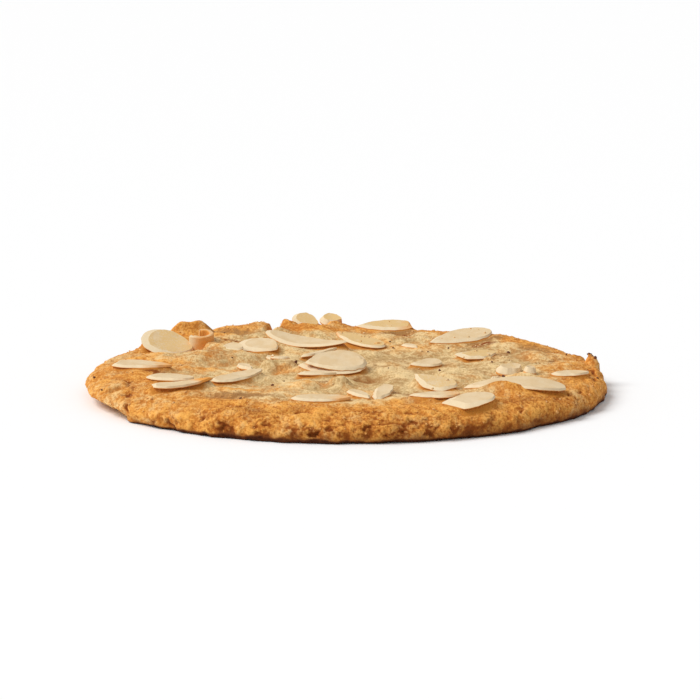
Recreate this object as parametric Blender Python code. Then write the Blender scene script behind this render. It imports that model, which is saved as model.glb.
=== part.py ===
"""Almond cookie: one thin round of baked dough, about 130 mm across, with sliced almonds baked into its top.

Lengths are in millimetres and angles in degrees, and every mesh is scaled to metres as it is written.
+Z is up, the origin is at the middle of the footprint, and -Y is the side that faces the viewer.
The dough is one closed solid, built as rings of points that run from the middle of the top, over the
shoulder, round the tucked lower edge and back under the flat base. Large almond flakes are solids of their
own, each a thin bent leaf. Small almond shards are joined to the dough.
"""

import math
from collections import namedtuple

import bmesh
import bpy
from mathutils import Vector, noise
from mathutils.bvhtree import BVHTree

MM = 0.001

# Driving sizes of the dough
EDGE_RADIUS = 65.0  # from the middle to the widest part of the edge
WIDEST_AT = 2.6  # height of the widest part
SHOULDER_DEPTH = 15.0  # how far in from the edge the top starts to round over
SHOULDER_POWER = 2.2  # 2 is a quarter ellipse, more is squarer
MIDDLE_HEIGHT = 5.7  # the top sags a little inside its rim
LEVEL_RADIUS = 24.0  # inside this radius the top is level
EDGE_WAVE = 0.5  # how far the edge wanders in and out of its circle
WAVES_ROUND = 2.2  # and how often, in wavelengths of noise to a radius
POINT_SPACING = 1.92  # between neighbouring points of the dough's mesh
SHOULDER_ROLLS = (18, 30, 41, 51, 60, 68, 76, 84, 90)  # its rings, from 0 at the level top to 90 at the edge
FOOT_ROLLS = (28, 60, 90)  # rings of the lower edge, from 0 at the widest part to 90 on the table
GAP = 0.3  # between an almond flake and what it lies on

# Height of the rim's crest by direction: 0 is +X (right), 90 the back, 180 the left, 270 the front
RIM_HEIGHTS = (
    (0, 6.9),
    (8, 7.0),
    (20, 6.8),
    (33, 7.3),
    (44, 8.2),
    (54, 7.8),
    (68, 7.4),
    (86, 7.6),
    (104, 8.9),
    (122, 9.5),
    (138, 8.6),
    (158, 7.5),
    (180, 6.8),
    (210, 6.3),
    (285, 6.4),
    (320, 6.5),
)

# How far the foot of the edge is tucked in under the widest part, by direction
FOOT_TUCK = (
    (0, 0.8),
    (60, 1.2),
    (120, 1.8),
    (155, 5.0),
    (180, 8.4),
    (206, 8.8),
    (224, 2.0),
    (270, 1.4),
    (320, 0.8),
)

# Rounded rises of the dough, and hollows where the height is negative. Length and width are full sizes,
# turn is the direction of the length.
Swell = namedtuple("Swell", "x y length width turn height")
SWELLS = {
    "back_left_lump": Swell(-42.4, 40.4, 19, 13.6, 25, 3.1),
    "back_ridge_hollow": Swell(-30, 41, 24, 11, -20, -1.4),
    "left_mound": Swell(-34, 12, 34, 22, 15, 1.1),
    "left_front_mound": Swell(-33, -28, 26, 14, -25, 0.6),
    "front_left_hollow": Swell(-29, -40, 24, 10, -20, -0.8),
    "covered_flake_rise": Swell(-19.5, 2, 14, 9, 20, 0.9),
    "hollow_by_covered_flake": Swell(-13, -8, 10, 6, 30, -0.5),
    "middle_lump": Swell(-1.5, -23, 11, 9, 0, 0.8),
    "middle_hollow": Swell(5, -13, 14, 9, -25, -1.1),
    "back_middle_rise": Swell(-12, 53, 18, 8, 0, 0.6),
    "back_brown_lump": Swell(-2.5, 56, 10, 7, 0, 0.9),
    "back_dark_hollow": Swell(14, 46, 12, 10, 10, -1.5),
    "back_right_mound": Swell(16, 37, 16, 12, 0, 0.8),
    "hollow_under_right_flake": Swell(33, 29.5, 19, 10, 20, -1.4),
    "right_mound": Swell(24, 8, 26, 16, 30, 0.4),
    "right_back_mound": Swell(45, 26, 18, 12, -40, 0.6),
    "right_front_lump": Swell(40, -31, 24, 15, -20, 1.5),
    "front_right_shelf": Swell(16, -43, 30, 10, 0, 0.5),
    "right_end_lump": Swell(63.5, 9.5, 9, 7, 80, 7.0),
    "right_end_shoulder": Swell(64, 0, 16, 7, 90, 2.6),
    "right_end_dip": Swell(54, 19, 11, 7, 60, -0.3),
    "left_rim_pit": Swell(-55.5, -24, 10, 6, 60, -1.3),
    "front_pit_left": Swell(-34.5, -52.5, 8, 7, 0, -0.8),
    "front_pit_middle": Swell(-11, -56, 10, 6, 10, -0.8),
    "front_pit_right": Swell(38, -48.5, 9, 7, 30, -0.9),
    "left_lump_back": Swell(-40.5, 41.2, 15, 10, 0, 0.7),
    "left_lump_side": Swell(-45.2, 38.8, 9, 8.4, 0, 1.3),
    "left_mound_top": Swell(-32.5, 11, 26, 17, 20, 0.9),
    "left_mound_back": Swell(-33.5, 20, 10, 8, 0, 0.6),
    "hollow_by_back_left_flake": Swell(-48.5, 18, 18, 9, -14, -1.5),
    "covered_plate": Swell(-17.2, 1.6, 12, 10, 20, 1.4),
    "middle_lump_top": Swell(-1.8, -20.5, 9, 9, 0, 1.4),
    "middle_left_lump": Swell(-9.5, -22, 10, 10, 0, 0.8),
    "right_low_mound": Swell(15, -8, 15, 11, 10, 0.5),
    "rise_by_shield": Swell(30, -12, 14, 10, 0, 0.45),
    "right_back_ridge": Swell(47, 13, 13, 9, -30, 0.6),
    "front_left_ridge": Swell(-20, -47, 27, 6, -8, 0.5),
    "ridge_by_split": Swell(-15.5, 53.5, 8, 8, 0, 0.9),
    "ridge_left_of_split": Swell(-24.0, 51.0, 8, 8, 0, 0.4),
}

# The crumbly skin, as layers of noise: size of a lump, and how far it stands proud
TOP_SKIN = ((11.0, 0.55), (5.0, 0.35))
EDGE_SKIN = ((10.0, 0.9), (5.0, 0.85))
SKIN_SEED = Vector((31.7, 8.2, 4.9))
SKIN_FROM, SKIN_RAMP = 0.3, 0.6  # the edge's skin comes in from this share of the shoulder, over this share

NOTCH_X = -19.3  # a split that cuts down through the back rim, straight from front to back
NOTCH_HALF_WIDTH = 2.4
NOTCH_DEPTH = 4.6
NOTCH_FROM, NOTCH_RAMP = 40.0, 8.0  # it starts at this radius and reaches its depth this far on
LIP_DIRECTION = 217.0  # a thin lip of dough that ran out along the tray
LIP_WIDTH = 10.0  # degrees
LIP_REACH = 2.6
LIP_FROM, LIP_RAMP = 30.0, 40.0  # it grows out of the foot from this roll, over so many degrees
BASE_RINGS = (48, 12)  # points on the rings under the base

# Almond flakes. x, y are the middle of the flake, turn the direction of its pointed end. lift is how far its
# underside stands above the natural dough at its middle, pitch how much the pointed end rises, roll how much
# its left side rises, and curl how far both ends rise (or droop) from the middle. point is 0 for a round end
# and 1 for a sharp one. chop cuts the blunt end off square, at that share of the half length. bend bows the
# flake sideways, by so much at its middle.
Flake = namedtuple(
    "Flake",
    "x y length width turn lift pitch roll curl point chop thick bend",
    defaults=(0.4, 0, 0, 0.0, 0.35, 1.0, 1.0, 0.0),
)
FLAKES = {
    "flake_back_left": Flake(-46.7, 26, 13.7, 13.7, -10, -0.5, -13.5, 15, 0.2, 0.45),
    "flake_left_edge": Flake(-51.3, -4, 16.5, 7.4, -16, 0.3, 0, 3, 0, 0.8, 0.85),
    "flake_left_upper": Flake(-42.8, -20.5, 12.3, 6.5, -18, 0.4, 0, 2),
    "flake_left_lower": Flake(-39.8, -30, 16, 5.2, 14, 0.5, 4, 2, 0.5, 0.5, 0.85, bend=-0.7),
    "flake_left_long": Flake(-26.5, -14.8, 18, 7, 52, 0.7, 1, 1, 0.3, 0.5, bend=0.5),
    "sliver_left": Flake(-25.2, -4.3, 7.8, 2.8, -62, 0.9, 0, 0, 0, 0.5),
    "flake_inner_left": Flake(-22.8, 24.2, 13, 9.8, -44, 0.5, -3, 10, 0, 0.5),
    "flake_back_large": Flake(-10.5, 33.2, 25, 8.8, -31, 0, -2, 3, 1.5, 0.3, bend=-1.2),
    "sliver_middle": Flake(-7, 18.8, 14.5, 3.2, 52, 0.5, 0, -6, 0, 0.6),
    "flake_middle_third": Flake(-7.6, -10.3, 10.6, 5.4, -10, 0.35, 0, -3, 0, 0.8, 0.8),
    "flake_middle_lower": Flake(-3.7, -2, 17.2, 12, 176, 1.1, 0, -10, 0, 0.6),
    "flake_middle_upper": Flake(-2.7, -1.4, 15.8, 12.6, 196, 2.6, -3.5, -9.4, 0, 0.7),
    "flake_front_middle": Flake(-5.9, -45.5, 14, 6.8, -4, 0.3, 0, 1, 0, 0.4),
    "sliver_front": Flake(3.1, -41, 9, 3.6, -58, 0.4, -2, 0, 0, 0.6),
    "flake_front_upright": Flake(8.5, -36, 12.5, 4.5, 256, 0.4, -6, 0, 0.2, 0.6),
    "flake_right_shield": Flake(21, -25.3, 14, 7.9, 129, 1.1, 7, -6, 0, 0.9, 0.9),
    "flake_front_right": Flake(20.7, -43.4, 12, 5.6, 182, 0.4, 0, -1, 0, 0.7),
    "flake_rim_front": Flake(28.7, -48.9, 15.4, 9.6, 43, 0.6, 5, 2, -0.3, 0.2, 0.7),
    "flake_right_long": Flake(40.4, -30.5, 24.5, 9.2, 178, 0.1, 0, -6, -1.5, 0.8, bend=0.6),
    "flake_right_edge": Flake(55.2, -12, 9.6, 5, 12, 0.4, 0, 2, 0, 0.3),
    "flake_right_dusted": Flake(33.4, 14, 12, 8.2, 35, 0.8, 0, 4, 0, 0.4, 0.9),
    "flake_back_right": Flake(30, 36, 19.6, 9.8, 215, -0.3, -4, -6, 0.2, 0.6),
    "sliver_right": Flake(20, 2.8, 8.6, 5.2, 200, 0.5, 0, -8, 0, 0.7),
    "flake_back_rim": Flake(10.5, 55.5, 15.8, 10, 186, 0.5, 0, -5, 0, 0.6, 0.9),
    "flake_back_dusted": Flake(3.2, 35.4, 21, 8, 124, 0.4, 3, 0, 0, 0.6),
    "flake_standing": Flake(-11.2, 57, 7.4, 5.6, -14, 0.6, -14, 24, 0, 0.3),
}
FLAKE_RING = 20  # points round a flake's outline
FLAKE_INNER_RING = 12  # and round its inner ring, at this share of the outline
FLAKE_INNER_SHARE = 0.55
FLAKE_BULGE = 0.3  # a sharper point makes the other end this much fuller
FLAKE_ROUGH = 0.35  # unevenness of a flake's sides
ROUGH_SCALE = Vector((3, 3, 7.3))  # its wavelengths round the outline, and from flake to flake
SUPPORT_SHARE = 0.8  # the dough rises to meet a flake out to this share of its size
SUPPORT_END = 1.1  # and is back at its natural height from this share
PRESSED_ROUND = 2.3  # the dough stays below a flake this far round it
BANK_SLOPE = 1.5  # and rises this steeply beyond

# Small shards of almond, joined to the dough. rise is how far a shard stands above the dough at its middle.
Shard = namedtuple("Shard", "x y length width turn pitch roll rise", defaults=(0, 0, 0.7))
SHARDS = {
    "shard_by_inner_flake": Shard(-29.6, 19.3, 6.5, 5.5, -30, 0, 10, 0.8),
    "shard_fork_long": Shard(-16.9, 7.4, 5.0, 2.2, -8, 0, 0, 1.5),
    "shard_fork_short": Shard(-19.4, 9.8, 5.0, 1.6, -70, 0, 0, 1.6),
    "chunk_right": Shard(40.4, -9.0, 6.6, 4.8, 30, 0, 12, 2.0),
    "chip_right": Shard(45.4, -10.6, 4.0, 3.2, 80, 0, 10, 1.5),
    "bit_right": Shard(36.6, -14.5, 2.2, 1.6, 0),
    "shard_back_right": Shard(16.6, 28.5, 6.0, 2.4, -50),
    "chip_back_rim": Shard(-4.3, 58.0, 6.3, 4.8, -15, -6, 18, 1.5),
}
SHARD_RING = 8
SHARD_THICK = 2.4  # most of it is sunk in the dough
ABOVE_ALL = 40.0  # a height clear of everything, to look down from

# A toasted almond sliver curled round on itself on the back left lump
CURL_CENTRE = (-37.4, 27.5)
CURL_RADII = (2.2, 1.8)
CURL_SWEEP = (-175, 110)  # degrees
CURL_STRIP = (1.3, 2.4)  # thickness and height of the strip
CURL_STEPS = 10

DOUGH_COLOUR = (0.62, 0.39, 0.17, 1.0)
ALMOND_COLOUR = (0.80, 0.66, 0.44, 1.0)


def ease(share):
    """0 to 1 with a level start and end."""
    share = min(1.0, max(0.0, share))
    return share * share * (3 - 2 * share)


def by_direction(stops, angle):
    """Value at an angle, eased between the stops of a closed round of (direction, value) pairs."""
    closed = stops + ((stops[0][0] + 360, stops[0][1]),)
    for (start, low), (end, high) in zip(closed, closed[1:]):
        if start <= angle <= end:
            return low + (high - low) * ease((angle - start) / (end - start))
    raise ValueError(f"no stop for {angle}")


def skin(point, layers):
    """How far the crumbly skin stands proud at a point."""
    return sum(depth * noise.noise((point + SKIN_SEED) / size) for size, depth in layers)


def in_frame(piece, x, y):
    """x, y along the length and across the width of a piece, from its middle."""
    turn = math.radians(piece.turn)
    dx, dy = x - piece.x, y - piece.y
    return dx * math.cos(turn) + dy * math.sin(turn), dy * math.cos(turn) - dx * math.sin(turn)


def spread(piece, x, y):
    """0 at the middle of a piece, 1 on the ellipse of its size."""
    along, across = in_frame(piece, x, y)
    return math.hypot(2 * along / piece.length, 2 * across / piece.width)


def swells_at(x, y):
    total = 0.0
    for swell in SWELLS.values():
        share = spread(swell, x, y)
        if share < 1:
            total += swell.height * (1 - share * share) ** 2
    return total


def edge_radius(angle):
    """Widest radius in a direction, with the slight waviness of dough that spread by itself."""
    turn = math.radians(angle)
    place = Vector((math.cos(turn), math.sin(turn), 0)) * WAVES_ROUND
    return EDGE_RADIUS + EDGE_WAVE * noise.noise(place + SKIN_SEED)


def top_height(x, y):
    """Natural height of the dough's upper side, before any flake is laid on it."""
    angle = math.degrees(math.atan2(y, x)) % 360
    radius = math.hypot(x, y)
    crest = by_direction(RIM_HEIGHTS, angle)
    start = edge_radius(angle) - SHOULDER_DEPTH
    lean = min(1.0, max(0.0, (radius - start) / SHOULDER_DEPTH))
    if lean > 0:
        drop = (1 - lean**SHOULDER_POWER) ** (1 / SHOULDER_POWER)
        height = WIDEST_AT + (crest - WIDEST_AT) * drop
    else:
        rise = ease((radius - LEVEL_RADIUS) / (start - LEVEL_RADIUS))
        height = MIDDLE_HEIGHT + (crest - MIDDLE_HEIGHT) * rise
    free = 1 - lean**4  # nothing rises or sinks at the widest part
    notch = max(0.0, 1 - abs(x - NOTCH_X) / NOTCH_HALF_WIDTH) if y > 0 else 0.0
    notch *= ease((radius - NOTCH_FROM) / NOTCH_RAMP)
    return height + free * (skin(Vector((x, y, 0)), TOP_SKIN) + swells_at(x, y) - NOTCH_DEPTH * notch)


def underside(flake, x, y):
    """Height of a flake's underside over x, y."""
    along, across = in_frame(flake, x, y)
    tilt = along * math.tan(math.radians(flake.pitch)) + across * math.tan(math.radians(flake.roll))
    bend = flake.curl * (2 * along / flake.length) ** 2
    return top_height(flake.x, flake.y) + flake.lift + tilt + bend


def bedded(x, y, height):
    """Dough height once the flakes are laid on: it rises to meet each flake, and never passes through one."""
    for flake in reversed(FLAKES.values()):
        share = spread(flake, x, y)
        outside = math.hypot(x - flake.x, y - flake.y) * (1 - 1 / max(1.0, share))
        if outside > 2 * PRESSED_ROUND:
            continue
        seat = underside(flake, x, y) - GAP
        hold = 1 - ease((share - SUPPORT_SHARE) / (SUPPORT_END - SUPPORT_SHARE))
        height += (seat - height) * hold
        height = min(height, seat + BANK_SLOPE * max(0.0, outside - PRESSED_ROUND))
    return height


def edge_point(angle, radius, height, reach):
    """A point of the dough near its edge. reach is 0 on the level top and 1 on the upright edge."""
    turn = math.radians(angle)
    outward = Vector((math.cos(turn), math.sin(turn), 0))
    radius += reach * skin(outward * radius + Vector((0, 0, height)), EDGE_SKIN)
    return outward * radius + Vector((0, 0, height))


def ring_count(radius):
    return max(6, round(2 * math.pi * radius / POINT_SPACING))


def top_ring(radius_share):
    """A ring of the level top, at a share of the way from the middle to the shoulder."""
    count = ring_count(radius_share * (EDGE_RADIUS - SHOULDER_DEPTH))
    points = []
    for step in range(count):
        angle = 360 * step / count
        radius = radius_share * (edge_radius(angle) - SHOULDER_DEPTH)
        x, y = radius * math.cos(math.radians(angle)), radius * math.sin(math.radians(angle))
        points.append(Vector((x, y, bedded(x, y, top_height(x, y)))))
    return points


def shoulder_ring(roll):
    """A ring of the rounded shoulder. roll runs from 0 at the level top to 90 at the widest part."""
    lean = math.sin(math.radians(roll)) ** (2 / SHOULDER_POWER)
    count = ring_count(EDGE_RADIUS - SHOULDER_DEPTH * (1 - lean))
    points = []
    for step in range(count):
        angle = 360 * step / count
        radius = edge_radius(angle) - SHOULDER_DEPTH * (1 - lean)
        x, y = radius * math.cos(math.radians(angle)), radius * math.sin(math.radians(angle))
        point = edge_point(angle, radius, top_height(x, y), ease((lean - SKIN_FROM) / SKIN_RAMP))
        point.z = bedded(point.x, point.y, point.z)
        points.append(point)
    return points


def foot_ring(roll):
    """A ring of the tucked lower edge. roll runs from 0 at the widest part to 90 on the table."""
    count = ring_count(EDGE_RADIUS)
    points = []
    for step in range(count):
        angle = 360 * step / count
        tuck = by_direction(FOOT_TUCK, angle) * (1 - math.cos(math.radians(roll)))
        height = WIDEST_AT * (1 - math.sin(math.radians(roll)))
        point = edge_point(angle, edge_radius(angle) - tuck, height, 1.0)
        lip = max(0.0, 1 - (2 * (angle - LIP_DIRECTION) / LIP_WIDTH) ** 2)
        point *= 1 + LIP_REACH * lip * ease((roll - LIP_FROM) / LIP_RAMP) / EDGE_RADIUS
        point.z = height
        points.append(point)
    return points


def base_ring(count, foot):
    """A ring under the flat base, of so many points, drawn in from the foot."""
    share = count / len(foot)
    ring = [foot[round(step / share) % len(foot)] * share for step in range(count)]
    return [Vector((point.x, point.y, 0)) for point in ring]


def stitch(first, second):
    """Triangles between two closed rings of point numbers, walking round both at the same pace."""
    faces, i, j = [], 0, 0
    while i < len(first) or j < len(second):
        here, there = first[i % len(first)], second[j % len(second)]
        if (j + 1) * len(first) <= (i + 1) * len(second):
            faces.append((here, there, second[(j + 1) % len(second)]))
            j += 1
        else:
            faces.append((here, there, first[(i + 1) % len(first)]))
            i += 1
    return faces


def closed_stack(start, rings, end):
    """Points and triangles of a closed skin: a first point, rings one after another, and a last point."""
    points, faces, numbers = [start], [], []
    for ring in rings:
        numbers.append(list(range(len(points), len(points) + len(ring))))
        points += ring
    points.append(end)
    last = len(points) - 1
    for first, second in zip(numbers, numbers[1:]):
        faces += stitch(first, second)
    faces += [(0, here, beyond) for here, beyond in zip(numbers[0], numbers[0][1:] + numbers[0][:1])]
    faces += [(last, beyond, here) for here, beyond in zip(numbers[-1], numbers[-1][1:] + numbers[-1][:1])]
    return points, faces


def new_material(name, colour, roughness):
    material = bpy.data.materials.new(name)
    material.use_nodes = True
    shader = material.node_tree.nodes["Principled BSDF"]
    shader.inputs["Base Color"].default_value = colour
    shader.inputs["Roughness"].default_value = roughness
    shader.inputs["Metallic"].default_value = 0.0
    return material


def new_object(name, points, faces, material):
    mesh = bpy.data.meshes.new(name)
    mesh.from_pydata([point * MM for point in points], [], faces)
    tidy = bmesh.new()
    tidy.from_mesh(mesh)
    bmesh.ops.recalc_face_normals(tidy, faces=tidy.faces)
    tidy.to_mesh(mesh)
    tidy.free()
    mesh.shade_smooth()
    mesh.materials.append(material)
    made = bpy.data.objects.new(name, mesh)
    bpy.context.scene.collection.objects.link(made)
    return made


def make_dough(material):
    """The dough with its hollows, lumps and the seats of the flakes, as one closed skin."""
    level = EDGE_RADIUS - SHOULDER_DEPTH
    top_rings = round(level / POINT_SPACING)
    rings = [top_ring(step / top_rings) for step in range(1, top_rings + 1)]
    rings += [shoulder_ring(roll) for roll in SHOULDER_ROLLS]
    rings += [foot_ring(roll) for roll in FOOT_ROLLS]
    rings += [base_ring(count, rings[-1]) for count in BASE_RINGS]
    middle = Vector((0, 0, bedded(0, 0, top_height(0, 0))))
    points, faces = closed_stack(middle, rings, Vector((0, 0, 0)))
    return new_object("cookie", points, faces, material)


def outline(flake, angle):
    """Along and across of the outline of a flake: an egg with a pointed end, and the other end cut square."""
    turn = math.radians(angle)
    along = 0.5 * flake.length * max(-flake.chop, math.cos(turn))
    sharpen = abs(math.sin(turn / 2)) ** flake.point * (1 + FLAKE_BULGE * flake.point)
    rough = FLAKE_ROUGH * noise.noise(Vector((math.cos(turn), math.sin(turn), flake.x)) * ROUGH_SCALE)
    bow = flake.bend * (1 - (2 * along / flake.length) ** 2)
    return along, (0.5 * flake.width * sharpen + rough) * math.sin(turn) + bow


def flake_rings(flake, rest_on):
    """Rings of one face of a flake, inner ring first, lying on what is under it."""
    turn = math.radians(flake.turn)
    faces = []
    for count, share in ((1, 0.0), (FLAKE_INNER_RING, FLAKE_INNER_SHARE), (FLAKE_RING, 1.0)):
        ring = []
        for step in range(count):
            along, across = (share * size for size in outline(flake, 360 * (step + 0.5) / count))
            x = flake.x + along * math.cos(turn) - across * math.sin(turn)
            y = flake.y + along * math.sin(turn) + across * math.cos(turn)
            ring.append(Vector((x, y, max(underside(flake, x, y), rest_on(x, y) + GAP))))
        faces.append(ring)
    return faces


def make_flake(name, flake, rest_on, material):
    (low_middle,), low_inner, low_outer = flake_rings(flake, rest_on)
    up = Vector((0, 0, flake.thick))
    high_inner = [point + up for point in low_inner]
    high_outer = [point + up for point in low_outer]
    rings = [high_inner, high_outer, low_outer, low_inner]
    points, faces = closed_stack(low_middle + up, rings, low_middle)
    return new_object(name, points, faces, material)


def top_surface(made):
    """Points in millimetres and triangles of an object, to drop things on."""
    points = [vertex.co / MM for vertex in made.data.vertices]
    faces = [tuple(face.vertices) for face in made.data.polygons]
    return BVHTree.FromPolygons(points, faces)


def highest_under(surfaces):
    """A function that gives the height of the highest surface at x, y."""

    def height_at(x, y):
        hits = (tree.ray_cast(Vector((x, y, ABOVE_ALL)), Vector((0, 0, -1)))[0] for tree in surfaces)
        return max((hit.z for hit in hits if hit), default=0.0)

    return height_at


def make_shard(shard, height_at, material):
    """A small thick chip, tilted, with most of it sunk in the dough."""
    turn, pitch, roll = (math.radians(angle) for angle in (shard.turn, shard.pitch, shard.roll))
    top = height_at(shard.x, shard.y) + shard.rise
    high, low = [], []
    for step in range(SHARD_RING):
        angle = 2 * math.pi * (step + 0.5) / SHARD_RING
        along, across = 0.5 * shard.length * math.cos(angle), 0.5 * shard.width * math.sin(angle)
        x = shard.x + along * math.cos(turn) - across * math.sin(turn)
        y = shard.y + along * math.sin(turn) + across * math.cos(turn)
        high.append(Vector((x, y, top + along * math.tan(pitch) + across * math.tan(roll))))
        low.append(high[-1] - Vector((0, 0, SHARD_THICK)))
    middle = Vector((shard.x, shard.y, top))
    points, faces = closed_stack(middle, [high, low], middle - Vector((0, 0, SHARD_THICK)))
    return new_object("shard", points, faces, material)


def make_curl(height_at, material):
    """The curled sliver: a strip on its edge that follows most of an ellipse."""
    thick, tall = CURL_STRIP
    radii = Vector((*CURL_RADII, 0))
    base = min(height_at(CURL_CENTRE[0] + dx, CURL_CENTRE[1]) for dx in (-radii.x, 0, radii.x))
    centre = Vector((*CURL_CENTRE, base))
    sides = ((-0.5, -1.0), (0.5, -1.0), (0.5, 1.0), (-0.5, 1.0))
    rings = []
    for step in range(CURL_STEPS):
        turn = math.radians(CURL_SWEEP[0] + (CURL_SWEEP[1] - CURL_SWEEP[0]) * step / (CURL_STEPS - 1))
        outward = Vector((math.cos(turn), math.sin(turn), 0))
        middle = centre + outward * radii
        rings.append([middle + outward * thick * side + Vector((0, 0, tall * rise)) for side, rise in sides])
    start = sum(rings[0], Vector()) / len(rings[0])
    end = sum(rings[-1], Vector()) / len(rings[-1])
    points, faces = closed_stack(start, rings, end)
    return new_object("curl", points, faces, material)


def join_to(made, additions):
    """Joins closed pieces to an object with one Boolean union and removes them."""
    group = bpy.data.collections.new("joined_pieces")
    for piece in additions:
        bpy.context.scene.collection.objects.unlink(piece)
        group.objects.link(piece)
    bpy.context.scene.collection.children.link(group)
    union = made.modifiers.new("join_shards", "BOOLEAN")
    union.operation = "UNION"
    union.operand_type = "COLLECTION"
    union.collection = group
    bpy.context.view_layer.objects.active = made
    bpy.ops.object.modifier_apply(modifier=union.name)
    for piece in additions:
        bpy.data.objects.remove(piece)
    bpy.data.collections.remove(group)


def main():
    for found in list(bpy.data.objects):
        bpy.data.objects.remove(found)
    dough = new_material("baked_dough", DOUGH_COLOUR, 0.85)
    almond = new_material("almond", ALMOND_COLOUR, 0.6)

    cookie = make_dough(dough)
    surfaces = [top_surface(cookie)]
    for name, flake in FLAKES.items():
        made = make_flake(name, flake, highest_under(surfaces), almond)
        surfaces.append(top_surface(made))

    height_at = highest_under(surfaces[:1])
    shards = [make_shard(shard, height_at, almond) for shard in SHARDS.values()]
    join_to(cookie, shards + [make_curl(height_at, almond)])


main()
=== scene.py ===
import math

import bmesh
import bpy
import numpy as np
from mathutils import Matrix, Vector, noise
from mathutils.bvhtree import BVHTree


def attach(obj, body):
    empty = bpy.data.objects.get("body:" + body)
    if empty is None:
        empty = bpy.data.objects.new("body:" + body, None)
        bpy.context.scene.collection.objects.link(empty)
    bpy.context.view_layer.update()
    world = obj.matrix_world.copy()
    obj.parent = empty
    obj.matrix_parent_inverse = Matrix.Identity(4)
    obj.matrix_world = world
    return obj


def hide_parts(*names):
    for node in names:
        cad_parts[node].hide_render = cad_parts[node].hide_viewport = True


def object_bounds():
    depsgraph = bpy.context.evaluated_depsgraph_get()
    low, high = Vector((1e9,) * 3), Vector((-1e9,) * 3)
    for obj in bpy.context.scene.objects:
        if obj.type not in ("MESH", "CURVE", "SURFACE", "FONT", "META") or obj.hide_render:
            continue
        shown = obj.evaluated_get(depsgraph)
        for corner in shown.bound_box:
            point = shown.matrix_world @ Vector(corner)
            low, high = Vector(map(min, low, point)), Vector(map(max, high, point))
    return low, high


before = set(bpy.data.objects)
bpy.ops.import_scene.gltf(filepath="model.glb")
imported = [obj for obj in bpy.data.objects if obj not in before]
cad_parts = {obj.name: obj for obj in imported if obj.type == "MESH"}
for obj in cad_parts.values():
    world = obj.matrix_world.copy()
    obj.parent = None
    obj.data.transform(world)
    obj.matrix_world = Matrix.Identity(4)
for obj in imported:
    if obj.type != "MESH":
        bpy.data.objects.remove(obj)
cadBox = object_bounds()
mm = 0.001  # below, lengths are in millimetres and angles in degrees, and meshes are scaled by this
noise.seed_set(4)  # so that what pushed does is the same each run
farOff = 99.0  # a distance beyond any on the cookie
spare = 0.1  # how far the dough and its crumbs may rise over the solids
print("frame loaded:", len(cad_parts), "solids")


def ease(share):
    share = np.clip(share, 0, 1)
    return share * share * (3 - 2 * share)


def fade(value, start, end):  # 0 at start, 1 at end, level at both
    return ease((value - start) / (end - start))


def byDirection(stops, angle):  # eased between (direction, value) stops that go once round
    at, value = np.array(stops + [(stops[0][0] + 360, stops[0][1])], float).T
    here = np.clip(np.searchsorted(at, angle, side="right") - 1, 0, len(stops) - 1)
    share = ease((angle - at[here]) / (at[here + 1] - at[here]))
    return value[here] + (value[here + 1] - value[here]) * share


def polar(points):  # direction and distance from the middle
    x, y = points.T[:2]
    return np.degrees(np.arctan2(y, x)) % 360, np.hypot(x, y)


def waves(points, size, seed=(0, 0, 0)):  # smooth noise from -1 to 1, with waves of this size
    return np.array([noise.noise(place) for place in ((points + np.array(seed)) / size).tolist()])


def billows(points, size, seed=(0, 0, 0)):  # rounded lumps with sharp creases between, about -1 to 1.5
    return 4 * np.abs(waves(points, size, seed)) - 1


def pushed(points, size, reach, seed=(0, 0, 0)):  # places moved about, for an uneven look
    moves = [noise.noise_vector(place)[:] for place in ((points + np.array(seed)) / size).tolist()]
    return points + reach * np.array(moves)


def stitch(first, second):  # triangles between two closed rings of point numbers
    faces, i, j = [], 0, 0
    while i < len(first) or j < len(second):
        here, there = first[i % len(first)], second[j % len(second)]
        if (j + 1) * len(first) <= (i + 1) * len(second):
            faces.append((here, there, second[(j + 1) % len(second)]))
            j += 1
        else:
            faces.append((here, there, first[(i + 1) % len(first)]))
            i += 1
    return faces


def ringSkin(counts):  # triangles of a closed skin: one point, rings of so many points, one point
    numbers, start = [], 1
    for count in counts:
        numbers.append(list(range(start, start + count)))
        start += count
    first, last = numbers[0], numbers[-1]
    faces = [(0, here, beyond) for here, beyond in zip(first, first[1:] + first[:1])]
    for inner, outer in zip(numbers, numbers[1:]):
        faces += stitch(inner, outer)
    faces += [(start, beyond, here) for here, beyond in zip(last, last[1:] + last[:1])]
    return np.array(faces)


def outwardFaces(points, faces):  # turned to face out, judged by the volume that they enclose
    a, b, c = (points[faces[:, k]] for k in range(3))
    volume = np.einsum("ij,ij->i", a, np.cross(b, c)).sum()
    return faces if volume > 0 else faces[:, ::-1]


def faceVectors(points, faces):  # square to each face, as long as twice its area
    a, b, c = (points[faces[:, k]] for k in range(3))
    return np.cross(b - a, c - a)


def pointNormals(points, faces):
    flat = faceVectors(points, faces)
    normals = np.zeros_like(points)
    for k in range(3):
        np.add.at(normals, faces[:, k], flat)
    return normals / np.maximum(np.linalg.norm(normals, axis=1, keepdims=True), 1e-9)


def newPiece(name, points, faces, material, slot, replaced, crisp=0, **marks):
    mesh = bpy.data.meshes.new(name)
    mesh.from_pydata((points * mm).tolist(), [], faces.tolist())
    mesh.shade_smooth()
    if crisp:
        mesh.set_sharp_from_angle(angle=math.radians(crisp))
    for mark, values in marks.items():  # a mark is a value kept at each point, for the material
        mesh.attributes.new(mark, "FLOAT", "POINT").data.foreach_set("value", np.asarray(values, np.float32))
    mesh.materials.append(material)
    piece = bpy.data.objects.new(name, mesh)
    bpy.context.scene.collection.objects.link(piece)
    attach(piece, "root")
    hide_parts(replaced)
    return piece


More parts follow.
